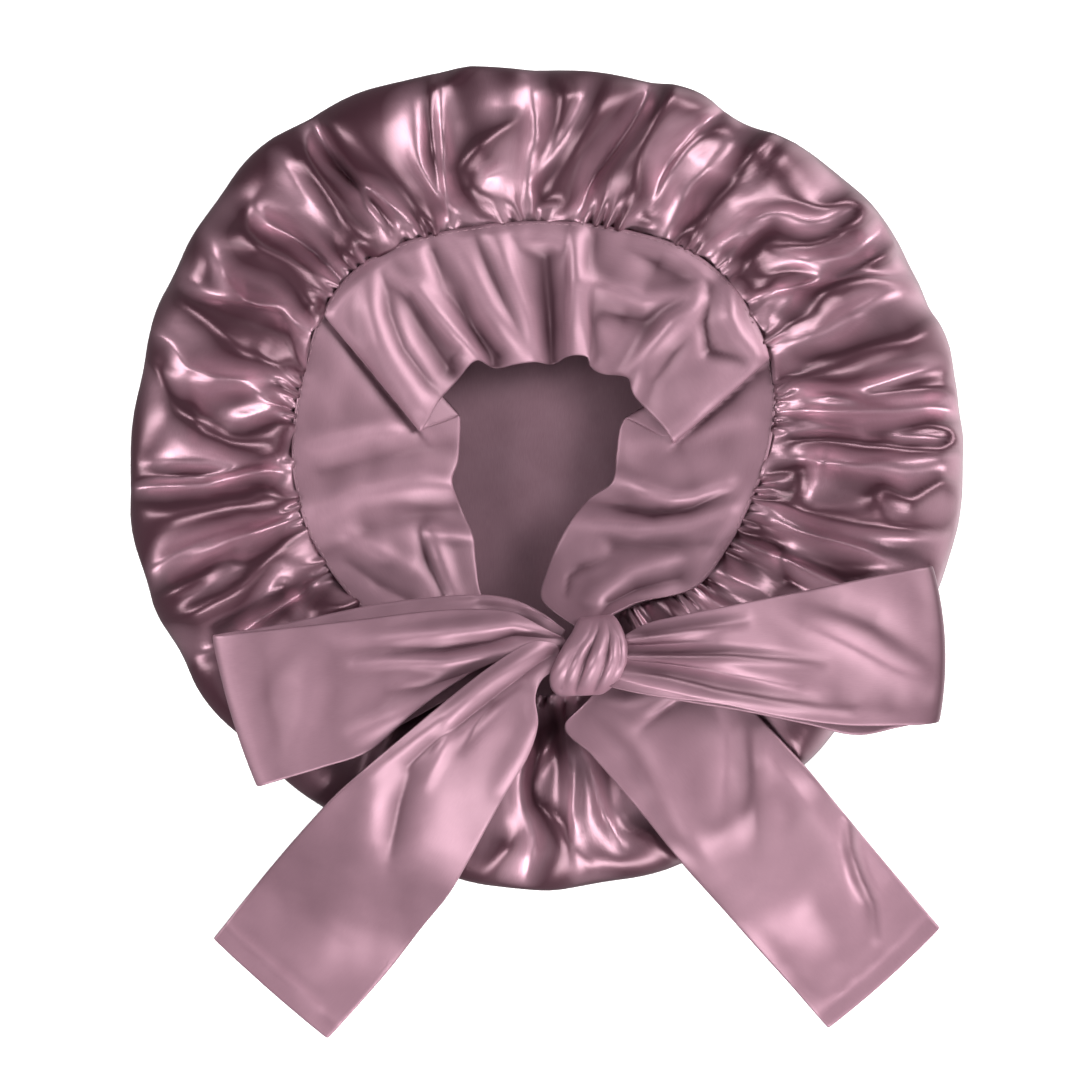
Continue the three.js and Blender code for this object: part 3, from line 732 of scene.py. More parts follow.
# Lines across the sewn part of the band, in millimetres, from the right side of the knot round the
# back to the left side. seam is the angle of the line's sewn end and setback how far in that end is
# from the crown's gathered edge; edge is the free end; arch is how far the middle stands up.
COLLAR = (
    ("seam", "setback", "seamZ", "edgeX", "edgeY", "edgeZ", "arch"),
    (291, 36, 56, 12, -66, 55, 0.5),
    (297, 33, 50, 4, -61, 49, 1),
    (305, 27, 44, -3, -54.5, 43, 2),
    (322, 4, 40, -1, -41.5, 36.5, 3),
    (339, 0, 41, 7, -23.5, 34, 1.5),
    (351, 0, 41.5, 17, -10, 32.5, 0.5),
    (1, 0, 42, 27.5, -2.5, 33.5, 1),
    (12, 0, 42, 29.5, 10, 32, 1),
    (21, 0, 41.5, 31, 21, 32, 0.5),
    (28, 0, 41, 32.4, 24.4, 32, 0.5),
    (34, 0, 40.8, 33.4, 25.4, 32.4, 0.2),
    (36.5, 0.5, 41.3, 36, 24.6, 33.4, 0.2),
    (36, 1, 42.0, 41, 22, 34.8, 0.2),
    (32, 1, 42.8, 48, 18.4, 36.4, 0.2),
    (28.6, 1, 43.6, 54.3, 15.6, 37.6, 0.2),
    (28.0, 0.5, 44.4, 55, 14.3, 38.6, 0.2),
    (28.8, 0.3, 45.3, 54, 15.6, 39.6, 0.4),
    (32, 0, 46, 50.5, 21, 40, 1.5),
    (39, 0, 46, 43, 29, 38, 2.5),
    (47, 0, 45.5, 37, 36, 36.5, 5),
    (58, 0, 45, 34.5, 43.5, 33, 2.5),
    (70, 0, 44.5, 23, 45.5, 29, 3),
    (79, 0, 44, 18, 49, 28, 3),
    (84, 0, 45, 16.5, 53, 30, 4.5),
    (87, 0, 44.5, 9.5, 53.5, 28.5, 3.5),
    (94, 0, 44, 2, 49.8, 25, 1.5),
    (102, 0, 45, -6, 50.6, 29, 4.5),
    (109, 0, 45, -15, 49.6, 28.5, 4),
    (115, 0, 44.5, -24, 47.8, 27, 2),
    (120, 0, 45.5, -32, 51.2, 33.5, 4.5),
    (126, 0, 45, -41, 41.5, 35, 2.5),
    (132, 0, 46, -48, 33.5, 38.5, 4.5),
    (139, 0, 46, -54, 22.8, 40, 2),
    (143.4, 0.3, 45.3, -56.3, 19.8, 39.2, 0.4),
    (144.4, 0.6, 44.5, -56.4, 19.8, 38.2, 0.2),
    (143.8, 1, 43.6, -54.4, 21.2, 37, 0.2),
    (139, 1, 42.8, -49.6, 22.8, 35.6, 0.2),
    (134.5, 1, 42, -44.6, 24.6, 34.2, 0.2),
    (134, 0.5, 41.3, -41, 26, 33.2, 0.2),
    (137, 0, 40.8, -39.6, 26.8, 32.4, 0.3),
    (144, 0, 41, -39, 24, 32, 0.5),
    (151, 0, 41.5, -39.2, 17, 32, 0.5),
    (160, 0, 42, -40, 6.5, 32, 1),
    (171, 0, 42, -42.5, -2.5, 33.5, 1.5),
    (181, 0, 41.5, -37.5, -16, 32, 1),
    (192, 0, 40.5, -33.2, -26.5, 33.5, 2.5),
    (203, 0, 38.5, -32, -38, 35, 1.5),
    (215, 0, 36.5, -29.5, -52, 37.5, 1),
    (229, 2, 37.5, -21, -62.5, 41, 0.5),
    (243, 5, 40.5, -13, -69.5, 43.5, 0.3),
    (255, 9, 43, -4, -78, 46, 0.2),
)

# Each loop, from inside the knot out along its upper layer, round the end, and back along its lower
# layer: the line from the upper to the lower edge of the band, its height and arch, and bulge, how
# far its middle reaches out.
LEFT_LOOP = (
    ("upperX", "upperY", "lowerX", "lowerY", "height", "arch", "bulge"),
    (8, -71, 6, -78, 61, 0, 0),
    (-3, -65.5, -9, -77, 62.5, 1.0, 0),
    (-16, -59.2, -24, -80.5, 62.5, 1.5, 0),
    (-34, -57.6, -41, -90, 61, 1.5, 0),
    (-55, -58.8, -59, -103, 58.8, 1.2, 0),
    (-79, -61.8, -78, -119.5, 56.4, 0.8, 0),
    (-104, -64.8, -99, -127, 55, 0.5, 0),
    (-127, -67.3, -115, -131.8, 54.3, 0.3, 0.6),
    (-142.5, -68.9, -124.2, -134.6, 53.4, 0, 1.6),
    (-145.6, -69.1, -126.2, -135.2, 52.0, 0, 2),
    (-146.6, -69.1, -126.8, -135.2, 49.9, 0, 2),
    (-145.4, -69, -126.2, -135, 47.6, 0, 2),
    (-142, -68.4, -124, -134, 46.4, 0, 1.6),
    (-126, -66, -114, -130.5, 45.7, 0.2, 0.6),
    (-112, -63.4, -101, -126, 45.5, 0.4, 0),
    (-75, -55.7, -78, -116, 45.6, 0.8, 0),
    (-45, -52.2, -56, -104, 46.8, 1.2, 0),
    (-26, -51.8, -38, -94, 48.6, 1.6, 0),
    (-14, -54.2, -22, -87, 50.8, 1.6, 0),
    (-3, -59.6, -8, -83, 53.4, 1.0, 0),
    (7, -67, 4, -80, 55, 0, 0),
)
RIGHT_LOOP = (
    ("upperX", "upperY", "lowerX", "lowerY", "height", "arch", "bulge"),
    (20, -72, 19, -89, 64, 1, 0),
    (31, -69.5, 29, -92, 66, 1.5, 0),
    (41, -64.2, 41, -94.6, 67, 2, 0),
    (56, -60.4, 56, -96.6, 66.5, 2.5, 0),
    (79, -55.8, 75, -99, 64.3, 2.5, 0),
    (106, -50.6, 99, -104.3, 60.5, 2, 0),
    (131, -45.6, 128, -108.3, 57.6, 1, 0.8),
    (152, -41.4, 152, -108.6, 56.2, 0.5, 2.2),
    (162.6, -39.3, 165.6, -107.9, 55.2, 0.2, 3.6),
    (165.6, -39.0, 168.6, -107.4, 53.6, 0, 4.2),
    (166.4, -39.0, 169.3, -107.2, 51.3, 0, 4.2),
    (165.4, -39.4, 168.4, -107.2, 49.0, 0, 4),
    (162, -40.4, 165, -107.4, 47.8, 0, 3.4),
    (151, -43, 153, -109.8, 47.3, 0, 2),
    (137, -46, 136, -113.2, 47.2, 0.2, 1),
    (110, -51.5, 112, -108.4, 47.6, 0.5, 0),
    (84, -57, 84, -102.6, 48.8, 0.8, 0),
    (56, -63, 54, -97.5, 51, 1, 0),
    (38, -68, 36, -93.5, 53.6, 0.6, 0),
    (24, -72, 23, -89, 55, 0, 0),
)

# The tails, from inside the knot to the cut end: the line across the band, its height over the drape
# and its arch. drape is the height of the line's place on the crown and on the floor beside it.
LEFT_TAIL = (
    ("upperX", "upperY", "lowerX", "lowerY", "lift", "arch", "bulge"),
    (4, -73, 8, -83, 21, 0, 0),
    (-7, -71.5, -1.5, -86.5, 23.5, 0.5, 0),
    (-24, -81.3, -5.8, -94.5, 25.5, 1, 0),
    (-44, -96.6, -4.8, -107, 25, 1.2, 0),
    (-62, -111.5, -9, -121, 21.5, 1.2, 0),
    (-79, -126, -18.4, -137, 16, 1.0, 0),
    (-93, -138.5, -26.5, -152, 9.5, 0.8, 0),
    (-105, -151.5, -35, -168, 4, 0.6, 0),
    (-116, -164, -44.5, -184.6, 1.2, 0.4, 0),
    (-126.5, -176.5, -56, -199.8, 0.6, 0.2, 0),
    (-137, -189.5, -71, -220, 0.4, 0, 0),
    (-146, -200.8, -87, -238.6, 0.4, 0, 0),
    (-151, -207, -99.5, -252.3, 0.4, 0, 0.8),
)
RIGHT_TAIL = (
    ("upperX", "upperY", "lowerX", "lowerY", "lift", "arch", "bulge"),
    (36, -83, 24.5, -89.5, 2.6, 0, 0),
    (44, -76.5, 13, -101.5, 2.2, 0.2, 0),
    (53, -75, 6.6, -108, 1.6, 0.4, 0),
    (70, -81, 18.5, -122, 1.2, 0.6, 0),
    (91.7, -104.7, 40, -147, 0.9, 0.6, 0),
    (110, -124.3, 57, -168.4, 0.8, 0.6, 0),
    (127, -144.4, 75, -189.5, 0.6, 0.4, 0),
    (144.5, -165, 93, -210.5, 0.5, 0.3, 0),
    (161, -184.5, 109.5, -229, 0.4, 0.2, 0),
    (171.5, -197, 121, -242.3, 0.4, 0, 0.6),
    (176, -202.2, 125.6, -247.5, 0.4, 0, 1.4),
)
DRAPE = (
    ("radius", "height"),
    (0, 42),
    (158, 42.5),
    (172, 41),
    (183, 36.5),
    (193, 29),
    (205, 19),
    (218, 9.5),
    (232, 3.8),
    (246, 1.6),
    (258, 1.1),
    (300, 1.1),
)

# The turn of band round the knot, from where it comes out behind to where it tucks in at the front:
# the line across it, its height, and how far its sides turn down.
KNOT = (
    ("leftX", "leftY", "rightX", "rightY", "height", "sides"),
    (15, -63.5, 25, -62.5, 52, 2),
    (14, -62, 26.5, -60.8, 57, 3),
    (12.6, -63.6, 28.5, -62, 64, 5),
    (10, -68.5, 31.5, -67.5, 70.5, 8),
    (6.4, -74, 33.2, -74, 74, 11),
    (3, -80.5, 33, -80.5, 75, 13),
    (0.6, -86.5, 30.6, -86.5, 72.6, 13),
    (1.2, -91.6, 26.6, -91.4, 67, 11),
    (4.4, -95, 22, -94.4, 60.5, 7),
    (6.4, -94, 20, -93, 54.5, 3),
    (7.4, -91, 18.5, -90, 51, 1),
)

# Ridges and creases of the cloth, piece by piece. Each line runs over the piece, seen from above,
# through points with their rise there, negative in a crease. left and right are how far the fold
# falls away on each side, going along the line. All are in millimetres.
FOLDS = {
    "crown": (
        ("left", "right", "line"),
        # From its back left round to its left: the big overlapping pleat first.
        (17.9, 1.6, ((-103, 162, 2.5), (-97, 153, 6.6), (-91, 143, 7.4), (-84, 132, 7.4),
                     (-77, 119, 6.6), (-66, 105, 3.3))),
        (3, 6, ((-106, 160, -2.5), (-100, 151, -5.8), (-94, 141, -6.6), (-87, 130, -6.6),
                (-80, 117, -4.9), (-72, 107, -2.5))),
        (3.8, 5.2, ((-108, 151, 3.3), (-105, 140, 6.6), (-100, 130, 6.6), (-94, 120, 5.8),
                    (-89, 112, 4.9), (-79, 102, 2.5))),
        (6, 7.5, ((-120, 142, -2.5), (-111, 130, -4.9), (-105, 122, -4.9), (-97, 113, -3.3))),
        (5.2, 6, ((-128, 121, 1.6), (-133, 115, 4.9), (-132, 107, 6.6), (-126, 100, 6.6),
                  (-116, 96, 4.9), (-104, 90, 3.3))),
        (4.4, 6, ((-127, 117, -1.3), (-125, 110, -3.2), (-119, 104, -2.6))),
        (3, 5.2, ((-124, 110, -2.5), (-112, 104.5, -6.6), (-103, 98, -7.4), (-95, 91, -6.6),
                  (-89, 85, -3.3))),
        (7.5, 7.5, ((-93, 99, 2.6), (-87, 97, 3.2))),
        (1.7, 1.5, ((-96, 94, 1.3), (-88, 89.5, 2))),
        (6.8, 4.4, ((-151, 108, -2.5), (-146, 98, -4.1), (-141, 87, -6.6), (-134, 78, -8.2),
                    (-124, 71, -8.2), (-107, 64.5, -4.1))),
        (12, 12, ((-130, 93, 1.6), (-115, 82, 4.9), (-104, 76, 4.1))),
        (2.3, 3, ((-99, 78, 1.3), (-103, 73, 2.6), (-101, 67, 2))),
        (9, 7.5, ((-166, 88, 3.3), (-160, 78, 6.6), (-150, 69, 7.4), (-141, 61, 7.4), (-133, 53, 6.6),
                  (-125, 48, 4.9), (-110, 46, 3.3))),
        (3, 1.6, ((-127, 55, 1.3), (-124, 50, 2.6), (-116, 48, 2))),
        (6, 4.4, ((-174, 64, -2.5), (-165, 58, -4.1), (-158, 48, -6.6), (-147, 44.5, -8.2),
                  (-133, 43.5, -8.2), (-113, 44, -3.3))),
        (6, 5.2, ((-179, 54, 1.6), (-171, 46, 4.9), (-166, 38, 6.6), (-160, 28, 7.4), (-150, 18.5, 7.4),
                  (-139, 14.5, 5.8), (-124, 14, 1.6))),
        (4.4, 3.9, ((-158, 41, 1.6), (-156, 32, 4.9), (-152, 25, 4.9), (-143, 22, 3.3))),
        (6, 6, ((-150, 36, 1.3), (-136, 35, 3.2), (-123, 36, 2.6), (-112, 34, 2))),
        (4.4, 4.4, ((-144, 24, -1.6), (-132, 25, -6.6), (-123, 28.5, -6.6), (-114, 32, -3.3))),
        (7.5, 9, ((-130, 20, 2), (-118, 17, 3.2))),
        (13.4, 1.5, ((-187, -2, 1.6), (-172, -0.5, 4.9), (-152, 0, 6.6), (-138, 3, 6.6), (-124, 8, 5.8),
                     (-114, 12, 3.3))),
        (3, 7.5, ((-182, -5, -1.6), (-168, -4.5, -6.6), (-150, -4, -8.2), (-136, -1, -8.2),
                  (-122, 3, -4.9))),
        (3, 3, ((-178, 6, -0.8), (-165, 7, -2.3), (-153, 5, -1.3))),
        (3, 3, ((-133, -2, 1.3), (-124, -6, 3.1), (-117, -9, 2))),
        (12, 10.4, ((-182, -15, 1.6), (-163, -18, 4.9), (-142, -13, 4.9), (-122, -10.5, 2.5))),
        (2.7, 2.7, ((-131, -14, 1.3), (-128, -17, 2.3), (-119, -13.5, 1.8))),
        (4.4, 3.8, ((-177, -42, -1.6), (-165, -34, -4.1), (-148, -25, -4.9), (-132, -19, -4.9),
                    (-115, -13, -2.5))),
        (6, 6, ((-168, -46, -1.6), (-152, -36, -5.8), (-140, -28, -5.8), (-122, -21, -3.3))),
        (6, 6.8, ((-174, -56, 2.5), (-163, -50, 6.6), (-152, -44, 6.6), (-145, -37, 4.9),
                  (-139, -31, 2.5))),
        (2.7, 2.7, ((-138, -31, 1.3), (-138, -37, 2.6), (-132, -38, 2.6), (-123, -29, 1.3))),
        (5.2, 5.2, ((-168, -64, 2.5), (-155, -60, 6.6), (-143, -53, 6.6), (-134, -48, 6.6),
                    (-125, -39, 5.8), (-116, -28, 3.3))),
        (6, 6, ((-158, -53, -2.5), (-144, -46, -4.9), (-133, -41, -3.3))),
        (4.4, 4.4, ((-112, -45, -1.6), (-119, -43, -4.9), (-126, -52, -4.9), (-130, -60, -3.3))),
        (3, 3, ((-112, -46, 1.3), (-116, -49, 2.6), (-118, -58, 2))),
        (3, 3, ((-106, -44, -1.6), (-109, -52, -4.9), (-108, -60, -3.3))),
        # Its back.
        (2.3, 12, ((-52, 170, 3.3), (-52, 155, 6.6), (-50.5, 143, 6.6), (-49, 130, 5.8),
                   (-47, 115, 2.5))),
        (7.5, 3, ((-47, 170, -2.5), (-47, 150, -7.4), (-46, 135, -7.4), (-44, 118, -3.3))),
        (4.4, 4.4, ((-52, 168, 1.6), (-44, 172, 4.1), (-37, 178, 4.9), (-28, 184, 4.9),
                    (-14, 180, 3.3))),
        (12, 12, ((-26, 174, -3.3), (-21, 160, -5.8), (-22, 151, -3.3))),
        (6, 4.4, ((-11, 158, 1.6), (-20, 151, 4.9), (-29, 144, 5.8), (-39, 134, 4.1), (-36, 126, 1.6))),
        (3.6, 3, ((-21, 134, -1.6), (-27, 131, -4.9), (-31, 124, -2.5))),
        (6.8, 6, ((-37, 124, 2.5), (-31, 125, 4.9), (-26, 137, 3.3))),
        (7.5, 7.5, ((-8, 176, -3.3), (-7, 160, -5.8), (-5, 148, -3.3))),
        (7.5, 9, ((-10, 180, 1.6), (2, 176, 4.9), (6, 165, 6.6), (4, 152, 4.9), (1, 144, 1.6))),
        (5.2, 4.4, ((19, 172, -1.6), (13, 160, -5.8), (8, 150, -5.8), (2, 139, -4.9), (-6, 130, -3.3))),
        (4.4, 4.4, ((12, 178, 1.6), (21, 183, 4.1), (33, 184, 4.9), (42, 180, 4.1), (48, 173, 1.6))),
        (6, 6, ((26, 170, 1.3), (21, 158, 3.2), (15, 145, 2.6), (10, 134, 1.3))),
        (4.4, 4.4, ((46, 175, -3.3), (43, 166, -7.4), (36, 154, -8.2), (28, 143, -8.2), (20, 133, -7.4),
                    (14, 119, -3.3))),
        (6, 6, ((54, 176, 2.5), (53, 166, 6.6), (46, 153, 6.6), (40, 140, 4.9), (38, 124, 4.1))),
        (2.3, 1.6, ((43, 120, 1.3), (42, 112, 2.6), (46, 112, 1.3))),
        (3.6, 4.4, ((82, 165, -3.3), (73, 158, -6.6), (64, 151, -6.6), (54, 140, -6.6), (48, 130, -5.8),
                    (44, 119, -3.3))),
        (2.7, 1.6, ((66, 149, 1.3), (58, 141, 3.1), (52, 132, 3.1), (47, 121, 1.6))),
        (13.4, 13.4, ((76, 149, -2.5), (69, 136, -5.8), (62, 124, -3.3))),
        (7.5, 4.4, ((106, 153, 3.3), (97, 149, 6.6), (89, 141, 7.4), (82, 131, 6.6), (73, 119, 5.8),
                    (60, 104, 3.3))),
        (3, 3, ((105, 150, -1.3), (96, 142, -2.9), (90, 133, -1.3))),
        (7.5, 6, ((108, 150, 1.3), (103, 141, 3.1), (94, 128, 2.6), (80, 116, 1.3))),
        (4.4, 3.2, ((94, 115, 1.6), (106, 119, 3.3), (120, 117, 4.1), (132, 120.5, 4.9),
                    (138, 117, 4.9), (134, 111, 4.9), (124, 105, 4.9), (113, 100, 4.1), (98, 99, 2.5))),
        (6, 6, ((104, 108, -1.3), (118, 112, -3.2), (131, 117, -2.6))),
        (4.4, 3.6, ((132, 96, -2.5), (120, 96, -5.8), (106, 97, -5.8), (94, 98, -3.3))),
        (3.2, 3.9, ((120, 90, -2.5), (109, 93.5, -4.9), (99, 91, -3.3))),
        (7.5, 7.5, ((148, 120, -2.5), (143, 106, -7.4), (134, 98, -6.6), (122, 91, -3.3))),
        (13.4, 3, ((155, 103, 3.3), (147, 97, 7.4), (136, 92.5, 7.4), (125, 87, 6.6), (118, 80, 4.9),
                   (116, 73, 1.6))),
        (3, 1.6, ((93, 86, 1.3), (103, 89, 3.1), (113, 88, 2))),
        (6, 6, ((111, 82, -3.3), (106, 76, -6.6), (99, 71, -3.3))),
        (2.3, 1.6, ((88, 79, 1.3), (96, 82, 2.1), (101, 79, 1.3))),
        (3.2, 3, ((99, 63, 1.3), (105, 66, 3.6), (112, 70, 2))),
        (3, 3, ((81, 97, -2.5), (87, 104, -5.8), (94, 109, -3.3))),
        (2.3, 1.6, ((82, 87, 1.3), (90, 95, 2.6), (97, 103, 1.3))),
        # Its right side.
        (15, 7.5, ((177, 77, 2.5), (168, 65, 6.6), (155, 58, 7.4), (135, 55, 7.4), (118, 52, 6.6),
                   (103, 47, 3.3))),
        (1.7, 12, ((184, 35, 2.5), (172, 38, 6.6), (155, 37, 6.6), (140, 35, 6.6), (125, 40, 5.8),
                   (105, 42, 2.5))),
        (7.5, 5.2, ((183, 27, -3.3), (168, 30, -8.2), (150, 28, -9.1), (136, 28, -8.2), (120, 28, -7.4),
                    (106, 28, -4.9))),
        (3.6, 3.6, ((110, 37, -1.3), (124, 37, -3.2), (134, 34, -1.3))),
        (2.3, 1.4, ((110, 32, 1.3), (124, 31.5, 2.6), (138, 31, 1.3))),
        (4.4, 3.6, ((138, 17, 1.6), (152, 20, 4.1), (165, 22.5, 5.8), (175, 20, 6.6), (178, 15.5, 6.6),
                    (171, 11.5, 6.6), (155, 12, 6.6), (138, 14.5, 6.6), (120, 16.5, 5.8),
                    (106, 16, 2.5))),
        (3, 3, ((152, 17, -1.3), (170, 16.5, -2.6))),
        (4.4, 4.4, ((105, 24, 1.3), (113, 25.5, 3.1), (128, 21.5, 1.8))),
        (3, 3, ((108, 19.5, -2.5), (120, 20, -4.9), (136, 17.5, -2.5))),
        (4.4, 4.4, ((184, 9, -1.3), (168, 8.5, -2.6), (148, 8, -2.6), (134, 4, -1.3))),
        (6, 6, ((113, 12, -1.6), (119, 5, -5.8), (118, -3, -5.8), (113, -9, -3.3))),
        (5.2, 6, ((103, 2, 1.6), (110, 3, 4.9), (110, -5, 4.9), (107, -12, 2.5))),
        (4.4, 4.4, ((182, -7, 1.6), (171, -2.5, 4.9), (164, -6, 4.9), (157, -11, 4.9), (150, -8, 4.9),
                    (145, -4, 4.9), (141, -9, 4.9), (144, -18, 1.6))),
        (9, 1.5, ((94, -10, 1.6), (102, -12, 4.9), (111, -16, 6.6), (122, -19.5, 6.6),
                  (135, -21.5, 6.6), (152, -23.5, 6.6), (172, -24, 2.5))),
        (3.9, 7.5, ((106, -24, -2.5), (120, -27, -6.6), (135, -31, -8.2), (148, -36, -8.2),
                    (160, -38, -3.3))),
        (3.2, 3.2, ((84, -25, 1.6), (93, -27, 4), (101, -29.5, 4.9), (102.5, -38, 4.9), (105, -45, 4.9),
                    (111, -50, 2.5))),
        (3, 3, ((80, -36, 1.3), (89, -37, 2.9), (97, -42, 1.6))),
        (4.4, 4.4, ((74, -40, -2.5), (82, -46, -5.8), (92, -50, -3.3))),
        (2.3, 1.6, ((67, -44, 1.3), (74, -48, 2.6), (79, -55, 1.6))),
        (3.2, 3.2, ((92, -20, 1.3), (97, -18, 2.9), (97, -23, 1.3))),
        # The part of it that shows between the tails.
        (3, 3.8, ((8, -118, 1.6), (-4, -128, 4.1), (-8, -137, 5.8), (-6, -144, 5.8), (8, -153, 3.3))),
        (3.6, 3.6, ((10, -114, -1.6), (14, -124, -4.9), (19, -132, -7.4), (24, -149, -7.4),
                    (31, -162, -3.3))),
        (4.4, 4.4, ((8, -114, -1.6), (4, -124, -4.9), (-1, -132, -3.3))),
        (7.5, 9, ((-12, -152, 1.6), (-18, -163, 5.8), (-28, -176, 3.3))),
        (6, 6, ((1, -154, 2.5), (11, -162, 4.9), (18, -172, 3.3))),
        (4.4, 4.4, ((33, -154, 2.5), (44, -157, 4.9), (54, -168, 2.5))),
        (6, 6, ((-6, -150, -1.6), (-6, -163, -4.9), (-10, -178, -2.5))),
        (5, 7, ((-12, -96, -8), (-2, -101, -15), (10, -102, -17), (22, -99, -14), (30, -95, -8))),
        (2, 2, ((2, -100, -3), (-4, -112, -5), (-12, -124, -3))),
        (2, 2, ((8, -100, -3), (7, -114, -6), (8, -130, -4), (6, -146, -1))),
        (2, 2, ((14, -100, -3), (19, -112, -5), (26, -124, -3))),
    ),
    "collar": (
        ("left", "right", "line"),
        # The turned-in back, from left to right.
        (7, 5, ((-78, 93, 1), (-78, 74, 3), (-74.5, 58, 3.5), (-69, 45, 3), (-59, 32, 1.5))),
        (3, 3, ((-73, 88, -1), (-70, 71, -2.5), (-64, 56, -3), (-53, 41, -2.5), (-47, 36, -1))),
        (7, 7, ((-62, 74, -1), (-52, 60, -3), (-44.5, 49, -3.5), (-39, 47, -1))),
        (3.5, 3, ((-70, 88, 1), (-58, 82, 2.5), (-50.5, 72.5, 3), (-42, 63, 3), (-31, 53, 2.5))),
        (4, 4, ((-51, 98, -2), (-46.5, 82, -3), (-35, 66, -3), (-23.5, 54.5, -2.5))),
        (6, 6, ((-44, 104, 1), (-33, 86, 2.5), (-27, 74, 3), (-16, 60, 2.5), (-9, 52, 1.5))),
        (4, 4, ((-31, 104, -1.5), (-25, 88, -1.5), (-17, 72, -1.5), (-10, 60, -1))),
        (4.5, 4, ((-23, 105, 1.5), (-17, 88, 2.5), (-9.5, 70, 2), (-5, 53, 1))),
        (5, 5, ((-1, 96, -2), (0.5, 80, -3.5), (1, 66, -3.5), (1, 52, -2))),
        (5, 4, ((-10, 104, 1.5), (3, 102, 1.5))),
        (8, 1.6, ((10.5, 107, 1), (10, 83, 4), (9.4, 66, 4), (10, 54, 2))),
        (3, 4, ((19.5, 105, -1), (14, 83, -1.5), (18, 70, -1.5), (22, 54, -1))),
        (4, 4, ((16, 86, 1), (42, 77.5, 2.5), (63, 81, 1.5))),
        (7, 7, ((36, 99, -1.5), (48, 93, -3.5), (60, 86, -2))),
        (5, 5, ((24, 72, -1.5), (33, 70, -2.5), (42, 68, -1.5))),
        (4.5, 4, ((67, 77, 1.5), (54, 68, 3.5), (44, 57, 3.5), (35, 45, 2))),
        (5, 5, ((64, 63, -1), (55, 54, -2.5), (46, 42, -2), (44, 34, -1))),
        (3, 3, ((70, 83, -1.5), (68, 67, -3), (70, 55, -3), (84, 51, -1))),
        (3.5, 4, ((80.5, 84, 1.5), (79.5, 70, 3), (83, 62, 2.5), (90, 53, 1))),
        # Beside the overlapping edges of its two pleats.
        (0.8, 5, ((-98.5, 71, -1), (-78, 46, -2.4), (-58.2, 21.6, -2))),
        (5, 0.8, ((98, 51.4, -1), (77, 33.4, -2.4), (57, 15.6, -2))),
        # Its left side.
        (6, 6, ((-45, -3, 2), (-62, -4, 2.5), (-82, -7, 2.5), (-100, -15, 1))),
        (7, 7, ((-44, -15, -1), (-62, -18, -2), (-80, -23, -2), (-97, -33, -1))),
        (3, 3, ((-57, -24, -1), (-53.5, -38, -2.5), (-46, -52, -1.5))),
        (4, 3, ((-52, -24, 1.2), (-48, -36, 1.8), (-42.5, -51, 1))),
        (3, 3, ((-51, -25, 1.2), (-42, -26, 1.6), (-34, -27, 1))),
        (5, 5, ((-63, 22, 1), (-80, 20, 1.8), (-103, 14, 1))),
        (5, 5, ((-45, 14, -0.8), (-70, 9, -1.4), (-100, 2, -1))),
        (4, 4, ((-60, -55, -1.2), (-75, -47, -1.8), (-88, -37, -1))),
        (4, 4, ((-62, -40, 1), (-74, -33, 1.5), (-90, -25, 1))),
        # Its right side.
        (4, 3.5, ((28, 0, 1), (42, -6, 3), (54, -10, 3.5), (63, -9.3, 3), (78, -3.5, 1.2))),
        (3, 4, ((15, -11.5, -1), (34, -14, -3), (46, -16.5, -3.5), (62, -14, -3), (75, -8, -1.2))),
        (3.5, 3.5, ((13, -20, 1), (38, -23, 2), (58, -21, 1.8), (78, -15, 1))),
        (2, 2, ((26, -36.5, -0.6), (13.5, -40.5, -1.6), (9, -44, -1.8), (7.5, -54, -1.4))),
        (3, 2.5, ((57, -44.5, -1), (38, -49.5, -2.4), (26, -56, -2.4), (22, -61, -1.5))),
        (5, 4, ((54, -37, 1), (35, -42, 2), (22, -52, 2), (16, -60, 1.2))),
        (4, 4, ((70, -30, -0.8), (50, -31, -1.4), (28, -31, -1.2))),
        (5, 5, ((38, 14, 0.8), (60, 18, 1.5), (84, 24, 0.8))),
    ),
    "left loop upper": (
        ("left", "right", "line"),
        (2.2, 3, ((4, -70.5, -1.7), (-15, -69, -3), (-26, -72.5, -3.4), (-45, -76, -2.5),
                  (-66, -77, -0.7))),
        (3, 4, ((2, -69, 1.1), (-16, -64.5, 2.8), (-38, -67, 2.8), (-66, -70, 1.6), (-92, -72, 0.5))),
        (3, 3, ((-12, -76, 1.1), (-28, -78, 2.8), (-45, -80.5, 3.2), (-62, -80, 2.1), (-84, -82, 0.7))),
        (2.5, 2.5, ((-22, -80, -1.1), (-40, -87, -2.3), (-55, -92, -1.8), (-70, -94, -0.6))),
        (5, 5, ((-50, -97, 1.1), (-66, -104, 2.5), (-84, -112, 1.1))),
        (9, 9, ((-96, -72, 0.5), (-104, -92, 1.8), (-108, -120, 0.7))),
        (8, 8, ((-124, -76, -0.5), (-122, -96, -1.4), (-116, -122, -0.7))),
    ),
    "left loop lower": (
        ("left", "right", "line"),
        (1.6, 1.6, ((6, -66, -1.4), (-10, -57.5, -2.1), (-24, -54.5, -1.4), (-44, -55, -0.3))),
        (2, 2, ((-2, -62, 0.9), (-14, -57, 1.6), (-30, -55.5, 0.9))),
    ),
    "right loop upper": (
        ("left", "right", "line"),
        (2.4, 2.4, ((28, -73.5, -2.3), (40, -73.5, -3.2), (54, -73, -2.5), (70, -72, -0.7))),
        (3, 2.5, ((28, -70.5, 1.1), (42, -69, 2.8), (60, -66, 2.3), (84, -63, 0.9))),
        (2.5, 2.5, ((28, -76.8, 2.3), (50, -77, 3.4), (77, -77, 3), (100, -79, 1.6), (118, -81, 0.5))),
        (2.4, 2.6, ((28, -79, -2.3), (46, -81, -3.4), (69, -84, -3), (88, -88, -1.8),
                    (106, -92, -0.5))),
